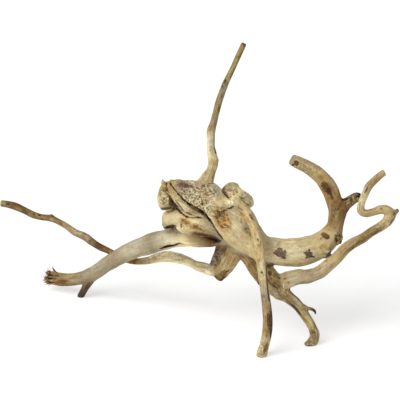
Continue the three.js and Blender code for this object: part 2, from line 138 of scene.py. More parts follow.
# Each root: how fluted it is, how softly it joins the rest, which root's grain it follows, its
# colours from start to end, and its [across, up, back, half-width, half-depth] points.
ROOTS = {
    "stem": (0.035, 4, "stem", (
        CREAM, IVORY, CREAM, CREAM, IVORY, CREAM, SAND, EARTH, OCHRE, SAND, SAND), [
        [-20, 156, 54, 14], [-8, 150, 53, 18], [7, 144, 51, 21], [24, 136, 50, 21],
        [43, 122, 50, 18], [62, 107, 51, 14.5], [80, 104.3, 53, 13.8], [95, 103.7, 56, 14.8],
        [108, 106.2, 59, 14.4], [119.5, 111, 62, 12.8], [130.5, 120.6, 66, 10.8],
        [135.8, 133, 69, 8], [137, 145.3, 71, 8.4], [133, 158.3, 71, 8.2],
        [128.3, 169.7, 69, 8.3], [119.5, 180.5, 65, 7.3], [107.4, 189.1, 61, 6.3],
        [98, 193.5, 58, 6], [91.6, 197, 57, 5.4]]),
    "stemSpur": (0.10, 2.5, "stemSpur", (BROWN, BARK, RUST, TAN, BARK), [
        [135, 134, 70, 6], [138.5, 143, 71, 7.6], [143, 149.4, 72, 7], [148.5, 153.6, 73, 5.4],
        [153, 157, 75, 4.8], [157.2, 158.8, 76, 4.6], [160.4, 158.6, 76.5, 3.8]]),
    "stemKnob": (0.05, 2, "stemKnob", (CREAM, SAND, TAN), [
        [126, 119, 64, 6], [134, 117.5, 63, 6.4], [139, 116.6, 62, 5.6], [142, 115.8, 62, 4]]),
    "stemStub": (0.04, 2, "stemStub", (CREAM, SAND, DUSK), [
        [110, 103, 55, 6], [120, 102.4, 52, 5], [130.8, 101.5, 50, 3.9]]),
    # The left arm's brown second colour paints the shade of the crevice under the bar.
    "leftArm": (0.05, 3, "leftArm", (
        TAN, BROWN, IVORY, ASH, DRAB, GREY, GREY, DRAB, DUSK, DUSK, DRAB, BROWN, UMBER), [
        [27, 122, 54, 9], [15, 117, 55, 7], [3, 116, 57, 7.2], [-9, 117, 61, 7.4],
        [-22, 117.2, 67, 8.4], [-35, 116, 77, 9.8], [-50, 111.8, 91, 10.4],
        [-65, 106.8, 106, 9.2], [-79.6, 99.8, 121, 8.5], [-94.4, 90.6, 135, 7.6],
        [-106, 82.8, 146, 7], [-118, 78.4, 154, 6.2], [-130, 76.3, 161, 6.2],
        [-140, 76.8, 167, 6.6], [-149, 78.2, 172, 6.2]]),
    "leftFoot": (0.05, 2, "leftFoot", (EARTH, SOOT, SOOT, BARK, BARK), [
        [-105, 84, 147, 6], [-110.6, 75.4, 150, 4.2], [-114.8, 68.2, 152, 3.5],
        [-118.9, 60.5, 156, 3.4], [-121.5, 55.5, 159, 3.4]]),
    "splinterLow": (0, 0.6, "leftArm", (TAN, OCHRE, RUST), [
        [-146, 75, 168, 3.2], [-151.5, 74.2, 171, 2], [-154.8, 73.8, 173, 0.8]]),
    "splinterMiddle": (0, 0.6, "leftArm", (TAN, OCHRE, RUST), [
        [-149, 78.5, 170, 3.6], [-153.4, 77.8, 172, 2], [-156.4, 77.2, 174, 0.8]]),
    "splinterHigh": (0, 0.6, "leftArm", (TAN, RUST, BROWN), [
        [-147, 81.5, 172, 3.4], [-151, 82.8, 175, 2.4], [-154.2, 83.6, 177, 1]]),
    "curledFibre": (0, 0.6, "leftArm", (DUSK, BROWN, BROWN), [
        [-143, 81, 168, 2], [-145.4, 85, 167, 1.2], [-147.2, 88, 166, 0.9],
        [-147.8, 90.6, 165, 0.6]]),
    "stub": (0.07, 2.5, "stub", (TAN, CREAM, TAN, SAND, TAN, TAN, OCHRE), [
        [43, 116, 62, 11], [36, 106.5, 69, 9.6], [30.5, 98.5, 76, 9],
        [26, 91, 83, 8.4], [22, 84, 89, 7.2], [19, 78.6, 93, 5.2]]),
    # The flange's dark colours paint the shade on the stub's back side, with bark on it.
    "stubFlange": (0.10, 4, "stub", (DRAB, BROWN, DUSK, DRAB), [
        [27, 119, 62, 6], [20.5, 109, 74, 4.6], [16.5, 100, 85, 3.6], [12, 90, 96, 3.2]]),
    # The thin root's palest colours near its start are painted light where the left arm shades it.
    "thinRoot": (0.05, 2.5, "thinRoot", (
        TAN, PALEST, PALEST, PALEST, IVORY, CREAM, RUST, UMBER, RUST, SOOT, TAN, TAN, BROWN,
        UMBER, SOOT, UMBER), [
        [24, 87, 90, 6], [12, 86, 96, 5.6], [3, 88.6, 101, 5.3], [-5.3, 91.2, 105, 4.5],
        [-13.2, 95, 109, 4.7], [-22.2, 97.8, 114, 5.3], [-32, 99.5, 119, 5.7],
        [-41.8, 98.2, 125, 5.1], [-52, 95.4, 131, 3.8], [-62, 94.6, 138, 3.4],
        [-72, 95.6, 145, 3], [-81.5, 99.5, 150, 3], [-90.5, 104.5, 153, 3.1],
        [-100.3, 109.2, 154, 3.6], [-109.3, 115.1, 154, 3.8], [-116.2, 119.8, 153, 3.8],
        [-125.1, 123.8, 152, 3.4], [-133.9, 130, 151, 3], [-142, 134.5, 150, 2.9],
        [-150, 137.9, 149, 3.3], [-158, 138.9, 148, 3.1], [-167, 141.4, 147, 3.5],
        [-175, 145.4, 146, 3.3], [-185, 149.8, 145, 3.6], [-193, 151.8, 144, 3.4],
        [-199.5, 152.7, 143, 3.2]]),
    "thinKnot": (0, 1.5, "thinRoot", (DUSK, PINK), [
        [-109, 113.5, 154, 3], [-111.6, 118.4, 153, 2.6], [-113, 121.4, 152, 1.4]]),
    "farKnot": (0, 1.5, "thinRoot", (OLIVE, BROWN), [
        [-148, 136, 149, 3], [-148.3, 139.4, 148, 2.4], [-148.6, 141, 147, 1.4]]),
    "frontLeg": (0.06, 2.5, "frontLeg", (
        SAND, SAND, SAND, SAND, SAND, SAND, DUSK, UMBER, EARTH, PALE, TAN), [
        [33, 155, 32, 4], [43, 147.5, 24, 5.3], [51, 134.5, 16, 6], [57, 118, 11, 5.5],
        [60, 101, 8, 4.9], [62.7, 81, 6, 4.6], [65, 62, 4, 4.5], [66.8, 48, 3, 4.9],
        [67.8, 36, 2, 5.1], [67.3, 24, 1, 5.2], [64.8, 12, 0, 5.1], [62.3, 3, 0, 5.4],
        [61.2, -4, 0, 5.4]]),
    "rightLeg": (0.05, 2, "rightLeg", (BROWN, UMBER, UMBER, TAN, DRAB, TAN, CREAM, OLIVE), [
        [46, 110, 52, 13], [54, 98.5, 47, 12], [62.3, 85.2, 43, 11.2], [71, 74.5, 40, 11],
        [80, 65.5, 37, 9], [90, 57.4, 35, 6], [99.3, 48.8, 33, 5.5], [106.3, 38.7, 31, 4.9],
        [112, 29.2, 30, 4.4], [114.7, 21, 30, 5.3], [113, 15, 29, 5.4], [109, 10.8, 28, 5],
        [107, 7.8, 27.5, 4.8]]),
    "legHook": (0, 1, "legHook", (SAND, UMBER, BARK, BARK), [
        [103, 50, 33, 2.6], [107.5, 47.8, 32, 1.9], [112, 46.8, 32, 1.7],
        [114.8, 44.8, 32, 1.5], [115.8, 41.6, 32, 1]]),
    "legNub": (0, 1, "rightLeg", (TAN, BARK), [
        [63, 78, 34, 4], [60, 74, 31, 2.2], [58.3, 71.4, 30, 1.2]]),
    "crookedRoot": (0.05, 2.5, "crookedRoot", (
        PALE, CREAM, DUSK, SAND, TAN, TAN, UMBER, CREAM, SAND, TAN, PALE, UMBER, TAN), [
        [76, 70, 39, 7], [87, 75.8, 38, 8.4], [97.1, 78.9, 38, 7.7], [107.1, 79.3, 39, 6.9],
        [118.1, 82.8, 40, 6.5], [127, 89.6, 42, 6.2], [136, 97.5, 44, 6], [145, 107, 47, 5.8],
        [153.3, 113, 51, 5.4], [162.4, 117.8, 56, 5], [172.3, 124.6, 61, 4.8],
        [182, 130.3, 66, 5.1], [188, 136, 69, 5.7], [190.5, 142, 71, 5.4],
        [186.3, 145.8, 71, 5.2], [181, 146.6, 70, 4.5], [173.3, 144, 68, 3.8],
        [165.5, 142.6, 66, 3.9], [161.2, 144.8, 65, 3.9], [161, 151, 65, 3.6],
        [165.3, 162.4, 66, 3.7], [168.8, 169.5, 67, 3.9], [174.5, 175.5, 69, 3.7],
        [181, 181.3, 71, 3.4], [184.8, 183.8, 72, 3.2]]),
    "crookedNub": (0, 1, "crookedNub", (UMBER, SOOT), [
        [190, 141, 71, 3], [194.5, 143.2, 72, 2.7], [198.3, 146.4, 72, 1.9]]),
    "upright": (0.04, 3, "upright", (
        IVORY, TAN, PALE, IVORY, UMBER, OLIVE, DRAB, OLIVE, OLIVE, UMBER), [
        [2, 168, 44, 9], [7.5, 177.5, 41, 6.5], [11.3, 185.8, 39, 4.8], [13.2, 193, 38, 5.1],
        [12.6, 200, 38, 4.8], [11.1, 209, 38, 4.1], [10.9, 218, 39, 4.1],
        [11.2, 225, 39, 4.4], [13.7, 233.8, 40, 3.7], [16.1, 243.8, 41, 3.5],
        [19, 254.9, 42, 3.5], [22.9, 265.8, 43, 3.4], [27.3, 276.6, 45, 3.4],
        [32.4, 286.9, 47, 3], [37.6, 298.5, 49, 3], [44.2, 312.8, 51, 2.9]]),
    "uprightKnot": (0, 1.5, "upright", (SAND, TAN), [
        [13, 194, 38, 4], [16.5, 196, 37, 2.8], [18.4, 197, 37, 1.6]]),
    "cap": (0.04, 1.5, "stem", (TAN, PALE, CREAM, IVORY), [
        [-31, 173.2, 27, 4, 5], [-23, 169, 28, 8, 8], [-10, 163.8, 29, 12, 11],
        [3, 159.5, 30, 15, 12], [12, 153.5, 29, 15.5, 12], [21, 144, 28, 12, 10]]),
    "flap": (0.04, 1.5, "stem", (IVORY, PALE, SAND, SAND, SAND), [
        [22, 151, 32, 17, 12], [31, 138.5, 28, 18, 10], [39, 125.5, 23.5, 17.2, 8],
        [47, 114.5, 19, 13, 7], [55, 105.5, 14, 7.6, 6], [60, 97, 9, 4.6, 4.6]]),
    "capCorner": (0.05, 1.5, "stem", (CREAM, PALE, IVORY, CREAM), [
        [0, 163, 36, 9], [9, 163.5, 34, 10.5], [14, 160, 32, 10], [17, 153, 31, 7]]),
    "ledge": (0.05, 1.2, "stem", (IVORY, CREAM, CREAM, IVORY), [
        [8, 156, 25, 8, 6], [18, 154.5, 19, 6, 4.5], [27, 153.6, 15, 4.2, 3],
        [32, 153.8, 13, 2.6, 1.9], [34.6, 154.4, 13, 1.4, 1.2]]),
    "strip": (0.05, 1.0, "stem", (UMBER, SAND, PALE, CREAM, IVORY), [
        [-31, 173, 27, 2.6], [-27.6, 165, 25, 3.5], [-21.4, 155.4, 23, 4.1],
        [-14, 148.2, 23, 4.2], [-6.5, 143.8, 25, 3.6], [0, 141.8, 28, 2.6], [4, 140.4, 31, 1.6]]),
    "lobe": (0.10, 1.5, "stem", (IVORY, IVORY, IVORY, CREAM), [
        [-30.5, 174, 37, 4], [-33, 166, 37, 7.6], [-34, 157, 39, 8.6], [-33, 149.5, 43, 7.4]]),
    "lobeEdge": (0.05, 1.2, "stem", (CREAM, CREAM, TAN), [
        [-38, 160, 34, 3.4], [-37, 154, 34, 3.6], [-34, 150.8, 37, 2.9], [-28, 150.4, 38, 2.4]]),
    "lobeSpike": (0, 1, "stem", (TAN, SAND), [
        [-34, 168, 33, 5], [-36.6, 173, 32, 2.2], [-37.9, 177.3, 32, 0.6]]),
    # The knee's three dusk colours at its start paint the shade in the slot under it.
    "knee": (0.05, 1.5, "stem", (DUSK, DUSK, DUSK, CREAM, CREAM, IVORY, PALE), [
        [-31, 120, 76, 3.4], [-31.5, 126.5, 68, 3.6], [-33, 133.5, 54, 5],
        [-30, 138, 48, 8], [-21, 139.2, 43, 8.6], [-11, 137.6, 38, 8.4], [0, 134.6, 35, 8],
        [9, 130, 37, 6]]),
    # The bar's last colours, rust and bark, paint the shade of the crevice under it.
    "bar": (0.05, 1.5, "stem", (IVORY, SAND, TAN, RUST, BARK), [
        [-20.5, 129.5, 44, 4, 6], [-15.5, 129.8, 40, 7.4, 7], [-8, 129, 37, 8, 7],
        [1, 126, 37, 7, 7], [11, 121.5, 39, 5.6, 6], [20, 117, 44, 4]]),
    "crownLeft": (0.06, 3, "stem", (SAND, IVORY, OLIVE), [
        [22, 154, 48, 6], [27, 161, 46, 7.8], [32, 165.5, 46, 8], [38, 166, 47, 6.4]]),
    "crownRight": (0.06, 4, "stem", (PALE, PALEST, IVORY), [
        [33, 157, 46, 7], [40, 157.6, 43, 8.4], [45, 154, 41, 8.2], [48.5, 148, 40, 6.5]]),
    "crownBridge": (0.05, 4, "stem", (PALE, IVORY, PALE), [
        [27, 158, 44, 6], [34, 161, 41, 7], [40, 158, 39, 7], [44, 152, 38, 6]]),
    # The web's dusk colour paints the shade seen through the slot under the knee.
    "web": (0.04, 2, "stem", (DUSK, DUSK), [
        [-32, 124, 76, 5], [-21, 129, 68, 7.5], [-6, 132, 62, 9], [8, 131, 58, 10]]),
    "backRidge": (0.06, 2.5, "stem", (GREY, SAND, CREAM, SAND, CREAM), [
        [-44, 115, 98, 5], [-26, 123, 88, 7], [-6, 132, 83, 8.5], [18, 140, 82, 9],
        [40, 134, 76, 8], [58, 117, 66, 8], [74, 108, 59, 7]]),
    "burl": (0.07, 3, "stem", (SAND, TAN, SAND, SAND), [
        [-32, 158, 50, 8], [-18, 154, 60, 13], [4, 148, 70, 16], [24, 141, 69, 17],
        [42, 132, 66, 13]]),
}

# Roots whose grain runs its own way, in three sets. No two of one set meet on the surface, so the
# grain of one fades into the next where they join.
GRAIN_SETS = (
    ("stem", "crookedRoot", "thinRoot"),
    ("leftArm", "upright", "rightLeg", "stemSpur", "stemKnob", "stemStub", "crookedNub"),
    ("stub", "frontLeg", "leftFoot", "legHook"),
)

# Hollows, laid out like the roots: how softly each is cut, how much shade is painted inside it,
# its points.
HOLLOWS = {
    "crack": (0.5, 1.0, [
        [-32.5, 177.5, 22, 0.3, 7], [-27.5, 169.5, 20, 0.4, 8], [-22, 162.6, 18, 0.4, 9],
        [-15.5, 155.8, 17, 0.5, 10], [-8, 150, 17, 0.8, 11], [-1, 145.2, 19, 1.9, 12],
        [5, 141, 21, 1.5, 13], [10, 135.5, 24, 0.7, 14], [15, 128, 27, 0.3, 13],
        [20, 121, 29, 0.4, 13], [24.5, 114.5, 31, 0.2, 12]]),
    "ledgeShade": (0.8, 0.9, [
        [21, 144, 18, 0.3, 5], [26, 146.6, 15, 1.1, 7], [31.5, 149, 13, 1.7, 8],
        [35.5, 151.6, 12, 1.1, 6]]),
    "dimple": (2.5, 0.15, [
        [38, 140, 17, 1.5, 2.6], [41.5, 133.5, 15, 4, 4], [45, 126.5, 13, 4.6, 4.6],
        [48.5, 118.5, 10, 2.6, 3.4]]),
    "armSlit": (0.6, 1.0, [
        [-39.5, 107.4, 72, 0.4, 5], [-33, 109.4, 62, 1.2, 7], [-27, 110.4, 58, 0.9, 6],
        [-21.5, 112, 54, 0.7, 5], [-15.5, 111, 52, 0.3, 4]]),
    "lipCrevice": (0.8, 0.9, [
        [-13, 122.6, 46, 0.4, 5], [-5, 120.8, 44, 1, 9], [4, 118.8, 42, 1.6, 10],
        [13, 116.6, 41, 2.2, 11], [20, 114.6, 43, 2, 8]]),
    "stripShade": (0.6, 0.75, [
        [-29.5, 158, 31, 0.7, 5], [-26.5, 152.5, 33, 0.7, 6], [-22.5, 147, 37, 0.7, 7],
        [-17, 141.6, 35, 0.6, 7], [-10.5, 138.6, 32, 0.6, 7], [-5, 138.2, 29, 0.4, 6],
        [-1, 138.6, 27, 0.2, 4]]),
    "underCap": (0.6, 1.0, [
        [-8, 148.4, 20, 0.6, 8], [-3, 146.6, 20, 1.7, 9], [2, 144, 20, 2.1, 10],
        [6, 140, 23, 1.1, 9]]),
    "splitHigh": (0.4, 0.2, [
        [-153, 81.6, 168, 0.8, 6], [-146, 80.2, 163, 0.5, 5], [-138, 79.2, 158, 0.2, 3]]),
    "splitMiddle": (0.4, 0.2, [
        [-153, 77.8, 166, 0.7, 6], [-147, 77, 162, 0.5, 5], [-140, 76.2, 158, 0.2, 3]]),
    "splitLow": (0.4, 0.2, [
        [-153, 74.4, 168, 0.7, 6], [-148, 73.9, 165, 0.5, 5], [-142, 73.2, 162, 0.2, 3]]),
    "kneeSlot": (0.6, 0.9, [
        [-36, 127.4, 48, 0.8, 9], [-31, 129, 48, 1.6, 12], [-25, 130.8, 46, 1.4, 9],
        [-21, 131.8, 44, 0.4, 4]]),
    "crownHollow": (1.5, 0.3, [
        [24, 168, 37, 1, 3], [23.5, 164, 34, 2, 5], [24, 159, 32, 1, 3]]),
    "lobeHollow": (0.8, 0.6, [
        [-30, 157, 30, 1, 2], [-28.5, 153, 30, 2, 4], [-27, 149, 32, 1.2, 2]]),
    "legSplit": (0.4, 1.0, [
        [64, 104, 2, 0.3, 2], [65.6, 92, 1, 0.6, 3], [66.8, 80, 0, 0.7, 3],
        [68, 66, -1, 0.7, 3], [69.2, 54, -2, 0.5, 3]]),
}

# Parts of the wood that stains and marks are kept to.
GROUPS = {
    "stem": ("stem", "stemKnob", "stemStub", "stemSpur"),
    "arm": ("leftArm", "splinterLow", "splinterMiddle", "splinterHigh"),
    "foot": ("leftFoot",),
    "leg": ("frontLeg", "flap"),
    "right": ("rightLeg", "legNub"),
    "crook": ("crookedRoot", "crookedNub"),
    "twig": ("upright", "uprightKnot"),
    "thin": ("thinRoot", "thinKnot", "farKnot"),
    "stub": ("stub", "stubFlange", "thinRoot"),
    "cap": ("cap", "capCorner", "ledge", "upright"),
    "crown": ("crownLeft", "crownRight", "crownBridge"),
    "lobe": ("lobe", "lobeEdge", "lobeSpike", "burl"),
    "low": ("bar", "knee", "strip", "web"),
    "core": ("cap", "capCorner", "flap", "ledge", "bar", "strip", "stem"),
    "under": ("leftArm", "bar", "stem", "web", "knee"),
}

# Soft stains, soft painted shade and a painted highlight, for each group: across, up, half-length,
# half-width, turn in degrees, colour and strength. They lie over each other in this order.
STAINS_AND_SHADE = (
    ("stem", [
        (79, 112, 2.6, 3.6, 0, UMBER, 0.5), (69, 106, 6, 11, 0, PINK, 0.5),
        (134, 127, 4, 3, 0, PINK, 0.6), (66, 116, 8, 4, -20, PINK, 0.4),
        (86, 99, 5, 4, 0, PINK, 0.4), (122.5, 109, 5, 3, 5, OCHRE, 0.8),
        (134, 114, 4, 3, 0, PINK, 0.7), (133, 123, 4, 5, 20, CREAM, 0.6),
        (139, 116, 3, 5, 10, OLIVE, 0.6), (134, 144, 10, 20, -4, EARTH, 0.9),
        (126, 143, 3, 17, -4, OLIVE, 0.5), (129.6, 146, 1.6, 14, -4, PINK, 0.6),
        (136, 144, 3, 14, -4, OLIVE, 0.7), (136, 150, 6, 8, 0, BROWN, 0.5),
        (133, 157, 5, 4, 0, OCHRE, 0.5), (121.6, 178.4, 7, 4.6, -40, OCHRE, 1.0),
        (121, 177, 5, 3, -45, UMBER, 0.5), (127.5, 167, 8, 7, -50, EARTH, 0.9),
        (128.5, 166.5, 7, 4.5, -52, BROWN, 0.85), (134, 161, 4, 6, -50, OLIVE, 0.7),
        (134, 172, 3, 8, 25, ASH, 0.6), (105, 192, 4, 2, -30, PALE, 0.9),
        (113, 187, 4, 2, -35, PALE, 0.8), (108, 187, 5, 1.6, -30, TAN, 0.7),
        (116, 190, 9, 2, -35, PINK, 0.5), (119, 184, 4, 1.4, -40, PALE, 0.7),
        (114, 183, 3, 2, 0, OCHRE, 0.3), (96, 193, 5, 5, 0, TAN, 0.6),
        (92.5, 197, 3, 6, 30, DRAB, 0.5)]),
    ("leg", [
        (59, 108, 9, 3, 85, OCHRE, 0.7), (54, 124, 8, 3, 75, OCHRE, 0.6),
        (69.5, 60, 30, 2.4, 90, TAN, 0.7), (65, 44, 9, 2, 88, PINK, 0.5),
        (66, 26, 14, 6, 88, TAN, 0.5), (64, 8, 8, 3, 60, OCHRE, 0.5),
        # The drab and umber stains at across 46 to 49 paint the shade in the dimple.
        (46, 127.5, 8.5, 3.8, -64, DRAB, 0.85), (48.6, 124.5, 7, 1.8, -66, UMBER, 0.7),
        (36, 131, 8, 6, -55, PALE, 0.6), (42, 118, 8, 4, -50, PINK, 0.6),
        (45, 139, 10, 2, -55, OCHRE, 0.5), (60, 133, 13, 3, -75, GREY, 0.6),
        (32, 141, 10, 5, -40, SAND, 0.5), (36, 138, 9, 4, -60, ASH, 0.6),
        (63, 90, 4, 22, 3, IVORY, 0.4), (64, 72, 4, 12, 3, PINK, 0.3)]),
    ("right", [
        (72, 88, 4, 6, 20, OCHRE, 0.8), (78, 84, 8, 2.6, -45, PALE, 0.7),
        (75, 79, 7, 2.6, -40, OCHRE, 0.9), (71, 75, 8, 3, -35, EARTH, 0.8),
        (80, 70, 8, 3, -40, OLIVE, 0.8), (84, 66, 2, 10, 5, PALE, 0.9),
        (75, 65, 9, 2.4, -35, GREY, 0.6), (73, 84, 5, 11, 20, SAND, 0.6),
        (77, 77, 6, 6, 0, OLIVE, 0.4), (113, 26, 4, 12, 0, OLIVE, 0.5),
        (92, 60, 9, 2.4, -45, SAND, 0.8), (90, 55, 9, 1.6, -48, OCHRE, 0.7),
        (98, 54, 8, 1.6, -45, PALE, 0.5), (97, 46, 9, 2, -52, EARTH, 0.8),
        (102, 48, 7, 1.6, -55, OCHRE, 0.6), (110, 36, 5, 2, -60, PALE, 0.5),
        (107, 34, 6, 2, -60, OLIVE, 0.8), (115, 20, 3, 8, 5, UMBER, 0.6),
        (111, 17, 3, 6, -20, OLIVE, 0.6), (112, 19, 3, 6, 0, UMBER, 0.3),
        (108, 11, 3, 4, 0, GREY, 0.6)]),
    ("crook", [
        (107, 80, 10, 4, 5, PINK, 0.7), (86, 75, 6, 5, 0, OCHRE, 0.5),
        # The drab lines at across 104 and 127 paint shade along the crooked root's underside.
        (104, 73.5, 12, 2, 8, DRAB, 0.7), (127, 86, 14, 2, 40, DRAB, 0.6),
        (195, 143, 4, 4, 40, DRAB, 0.8), (93, 77, 8, 5, 0, ASH, 0.5),
        (121, 86, 10, 5, 30, PINK, 0.4), (156, 111.5, 18, 2.2, 36, EARTH, 0.75),
        (152, 114, 4, 3, 30, PINK, 0.5), (178, 125.5, 12, 2, 34, EARTH, 0.7),
        (162, 145, 4, 4, 0, OCHRE, 0.4), (192, 137, 5, 8, 30, UMBER, 0.35)]),
    ("twig", [
        (11.5, 212, 11, 4, 90, ASH, 0.8), (14, 235, 10, 4, 78, DUSK, 0.6),
        (14, 193, 5, 5, 90, TAN, 0.6), (8, 180, 4, 6, 60, CREAM, 0.5)]),
    ("thin", [
        (-183, 148, 6, 3, -25, OCHRE, 0.5), (-131, 128, 6, 3, -40, PINK, 0.5),
        (-122, 124, 5, 3, -30, ASH, 0.8), (-147, 137, 4, 2, 0, CREAM, 0.6),
        (-113, 119, 4, 3, -30, PINK, 0.6), (-106, 113.5, 3, 4, -35, OLIVE, 0.8),
        (-95, 106, 3, 3, 0, OLIVE, 0.7), (-90, 103.4, 2.6, 3, 0, OCHRE, 0.8),
        (-113, 117, 2.4, 4, 0, PINK, 0.6), (-73, 96, 3, 4, 0, OCHRE, 0.5),
        (-60, 94, 5, 2, 0, OCHRE, 0.6), (-76, 97, 6, 2, 20, BROWN, 0.5)]),
    ("stub", [
        (0, 88, 10, 5, -10, OCHRE, 0.2), (30, 100, 6, 9, 30, OCHRE, 0.35),
        (40, 98, 5, 9, 30, OLIVE, 0.4)]),
    ("arm", [
        (-150, 77, 5, 7, 0, UMBER, 0.6), (-128, 75, 10, 2, 5, SAND, 0.5),
        (-131, 82, 11, 2, 5, OLIVE, 0.9), (-134, 79, 8, 1.2, 3, TAN, 0.6),
        (-140, 73.6, 8, 1.6, 0, MAROON, 0.7), (-84, 96, 10, 4, 38, PINK, 0.3),
        (-96, 96, 20, 2, 36, GREY, 0.5), (-2, 117, 14, 7, 0, TAN, 0.6),
        # The rust stain at across 12 paints the shade of the crevice under the bar.
        (12, 118, 12, 6, 0, RUST, 0.7), (-58, 103, 24, 3, 22, OLIVE, 0.5)]),
    ("cap", [
        (-15, 171, 9, 4, -10, PLUM, 0.8), (17, 166, 6, 11, 10, ASH, 0.8),
        (2, 172, 9, 4, 0, PINK, 0.5), (8, 160, 12, 4, -40, PINK, 0.4),
        (-14, 163, 12, 4, -40, PINK, 0.4)]),
    ("core", [
        (22, 136, 11, 16, 25, OCHRE, 1.0), (20, 141, 5, 6, 0, UMBER, 0.6),
        (26, 142, 8, 5, 0, SAND, 0.4), (10, 156, 12, 5, -30, PINK, 0.3)]),
    ("crown", [
        (30, 166.5, 4, 1.8, -10, ROSE, 0.7), (31, 170.5, 4, 2, 0, OLIVE, 0.7),
        (36, 170, 5, 4, -30, SAND, 0.5), (50.5, 152, 2, 8, 20, TAN, 0.6),
        (24, 166, 3.4, 6, -20, OLIVE, 0.8), (36, 161, 4, 3, -30, SAND, 0.4),
        (45, 159, 9, 8, 0, SAND, 0.5), (30, 165, 7, 5, 0, PINK, 0.5)]),
    ("lobe", [
        # The rose stain at across -29 paints the strip's reddish shadow on the lobe.
        (-40, 165, 3, 11, 0, OLIVE, 0.7), (-29, 152, 5, 4, 0, ROSE, 0.8),
        (-33, 164, 3, 6, -20, PINK, 0.4), (-35, 170, 4, 6, 0, OCHRE, 0.8),
        (-37, 157, 4, 6, 0, SAND, 0.6), (-32, 156, 3, 7, 0, SAND, 0.4)]),
    ("low", [
        (-14, 135, 7, 5, -30, OCHRE, 0.9), (-2, 128, 8, 4.5, -15, OCHRE, 0.9),
        (-15, 135.5, 6, 4, -30, OCHRE, 1.0), (-4, 129, 7, 4, -15, OCHRE, 1.0),
        # The ivory streak at across -11 is a painted highlight along the top of the bar.
        (2, 136, 5, 3, -30, PALE, 0.8), (-11, 137.5, 9, 1.8, -12, IVORY, 0.8)]),
    # The maroon, rust and brown stains of this group paint the dark red-brown shade in the crevice
    # under the bar.
    ("under", [
        (6, 131, 8, 9, -35, CREAM, 1.0), (-2, 122, 9, 2.6, -10, MAROON, 0.7),
        (17, 120, 6, 4, -35, RUST, 0.8), (23, 116, 4, 4, 0, BROWN, 0.7),
        (28, 111, 6, 5, -40, CREAM, 0.8)]),
    ("low", [
        # The earth stain at across 14 paints the shade of the crevice under the bar.
        (14, 120, 12, 4, -25, EARTH, 0.8), (10, 122, 8, 5, -30, TAN, 0.7),
        # The dusk stain at across -28 paints the shade in the slot under the knee.
        (-28, 130, 8, 3, 0, DUSK, 0.5)]),
)
